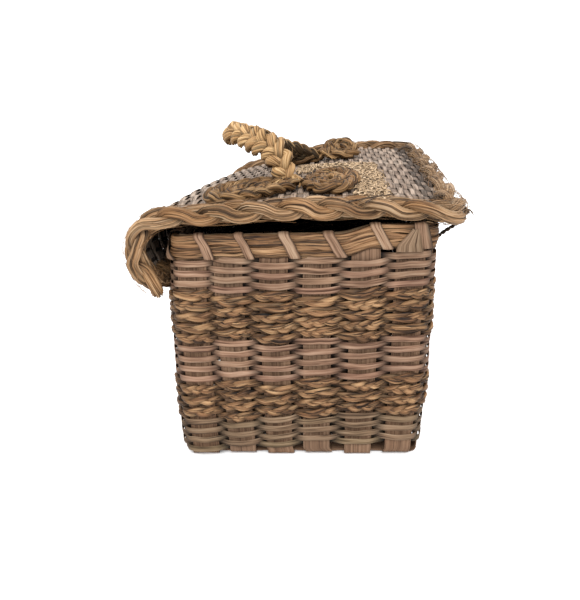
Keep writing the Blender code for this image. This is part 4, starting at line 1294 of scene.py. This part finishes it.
def add_ties():
    rng = np.random.default_rng(61)
    turn = TAU * np.arange(24) / 24
    for name, y in (("near", -TIE_PLACE), ("far", TIE_PLACE)):
        stops = np.array([(x, 0.0, z) for x, z in TIE_LOOP]) * MM + np.array([0, y, 0])
        base, share = route(stops, 10, 0.0006, closed=True)
        _, a, b = frames(base, np.array([0.0, 1.0, 0.0]), True)
        skin = Skin()
        for cord in (-1, 1):
            apart = cord * CORD_APART * (1 + 0.35 * ripple(rng, share, 4))
            for ply in range(2):
                phase = TAU * (30 * share + ply / 2 + rng.random())
                run = base + a * (apart + PLY_APART * np.cos(phase))[:, None]
                run = run + b * (PLY_APART * np.sin(phase))[:, None]
                tubes(skin, run, UP, PLY_HALF, PLY_HALF, 6, (rng.random(), 1.0, rng.random()), closed=True)
        knot = np.array([KNOT_X, y, KNOT_Z])
        for loop in (-1, 0, 1):
            axis = unit(np.array([1.0, 0.3, 0.9]) + rng.normal(size=3) * 0.3)
            one = unit(np.cross(axis, UP + 0.1))
            two = np.cross(axis, one)
            ring = one * (np.cos(turn) * 1.8 * MM)[:, None] + two * (np.sin(turn) * 1.7 * MM)[:, None]
            ring = ring + knot + axis * (loop * 0.9 * MM)
            paint = (rng.random(), 1.0, rng.random())
            tubes(skin, ring, axis, KNOT_CORD_HALF, KNOT_CORD_HALF, 6, paint, closed=True)
        for way in (1, -1):
            stops = knot + np.array(CORD_END) * (1, way, 1) * MM
            strand(skin, rng, route(stops, 6, 0.0005)[0], 0.45, 0.30)
        made = skin.build(f"{name}_tie", "dark_cord", None, "cord_dark", f"{name}_hinge_tie")
        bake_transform(made)


# Studio


FLOOR_HALF, FLOOR_LEVEL = 6.0, -0.0004
# Each light's place, size and power
LIGHTS = {
    "front_light": ((0.05, -1.5, 1.25), 0.8, 40.0),
    "top_light": ((-0.1, 0.1, 1.6), 1.2, 14.0),
}
LIT_PLACE = Vector((0, 0, 0.08))
CAMERA_AT = (0.0177, -0.5147, 0.2384)
CAMERA_PITCH, CAMERA_YAW, CAMERA_ROLL = (math.radians(angle) for angle in (19.4, -3.5, -1.73))
# The focal length in pixels of a picture this high, and the sensor's millimetres for that height
FOCAL_PIXELS, PICTURE_HEIGHT, SENSOR = 717.4, 600, 36


def add_studio():
    mesh = bpy.data.meshes.new("floor")
    corners = ((-1, -1), (1, -1), (1, 1), (-1, 1))
    corners = [(x * FLOOR_HALF, y * FLOOR_HALF, FLOOR_LEVEL) for x, y in corners]
    mesh.from_pydata(corners, [], [(0, 1, 2, 3)])
    floor = placed("floor", mesh)
    paper = bpy.data.materials.new("paper")
    paper.use_nodes = True
    shader = paper.node_tree.nodes["Principled BSDF"]
    shader.inputs["Base Color"].default_value = (0.92, 0.92, 0.92, 1)
    shader.inputs["Roughness"].default_value = 0.9
    mesh.materials.append(paper)
    world = bpy.data.worlds.new("studio")
    world.use_nodes = True
    world.node_tree.nodes["Background"].inputs["Color"].default_value = (1, 1, 1, 1)
    world.node_tree.nodes["Background"].inputs["Strength"].default_value = 1.45
    bpy.context.scene.world = world
    for name, (place, size, power) in LIGHTS.items():
        light = bpy.data.lights.new(name, "AREA")
        light.energy = power
        light.size = size
        lamp = placed(name, light)
        lamp.location = place
        lamp.rotation_euler = (LIT_PLACE - Vector(place)).to_track_quat("-Z", "Y").to_euler()
    bpy.context.scene.view_settings.view_transform = "Standard"


def add_camera():
    ahead = Vector((math.sin(CAMERA_YAW), math.cos(CAMERA_YAW), 0))
    forward = ahead * math.cos(CAMERA_PITCH) - Vector((0, 0, math.sin(CAMERA_PITCH)))
    right = Vector((math.cos(CAMERA_YAW), -math.sin(CAMERA_YAW), 0))
    up = right.cross(forward)
    across = right * math.cos(CAMERA_ROLL) + up * math.sin(CAMERA_ROLL)
    rise = up * math.cos(CAMERA_ROLL) - right * math.sin(CAMERA_ROLL)
    data = bpy.data.cameras.new("camera")
    data.sensor_fit = "AUTO"
    data.sensor_width = SENSOR
    data.lens = FOCAL_PIXELS / PICTURE_HEIGHT * SENSOR
    data.clip_start = 0.01
    camera = placed("camera", data)
    turn = Matrix((across, rise, -forward)).transposed().to_4x4()
    camera.matrix_world = Matrix.Translation(CAMERA_AT) @ turn
    bpy.context.scene.camera = camera


add_camera()
add_studio()
add_stakes()
add_walls()
add_rim()
add_lid_panel()
add_edge_braid()
add_ornaments()
add_handle()
add_foot_fans()
add_hem_bristles()
add_curls()
add_details()
add_ties()
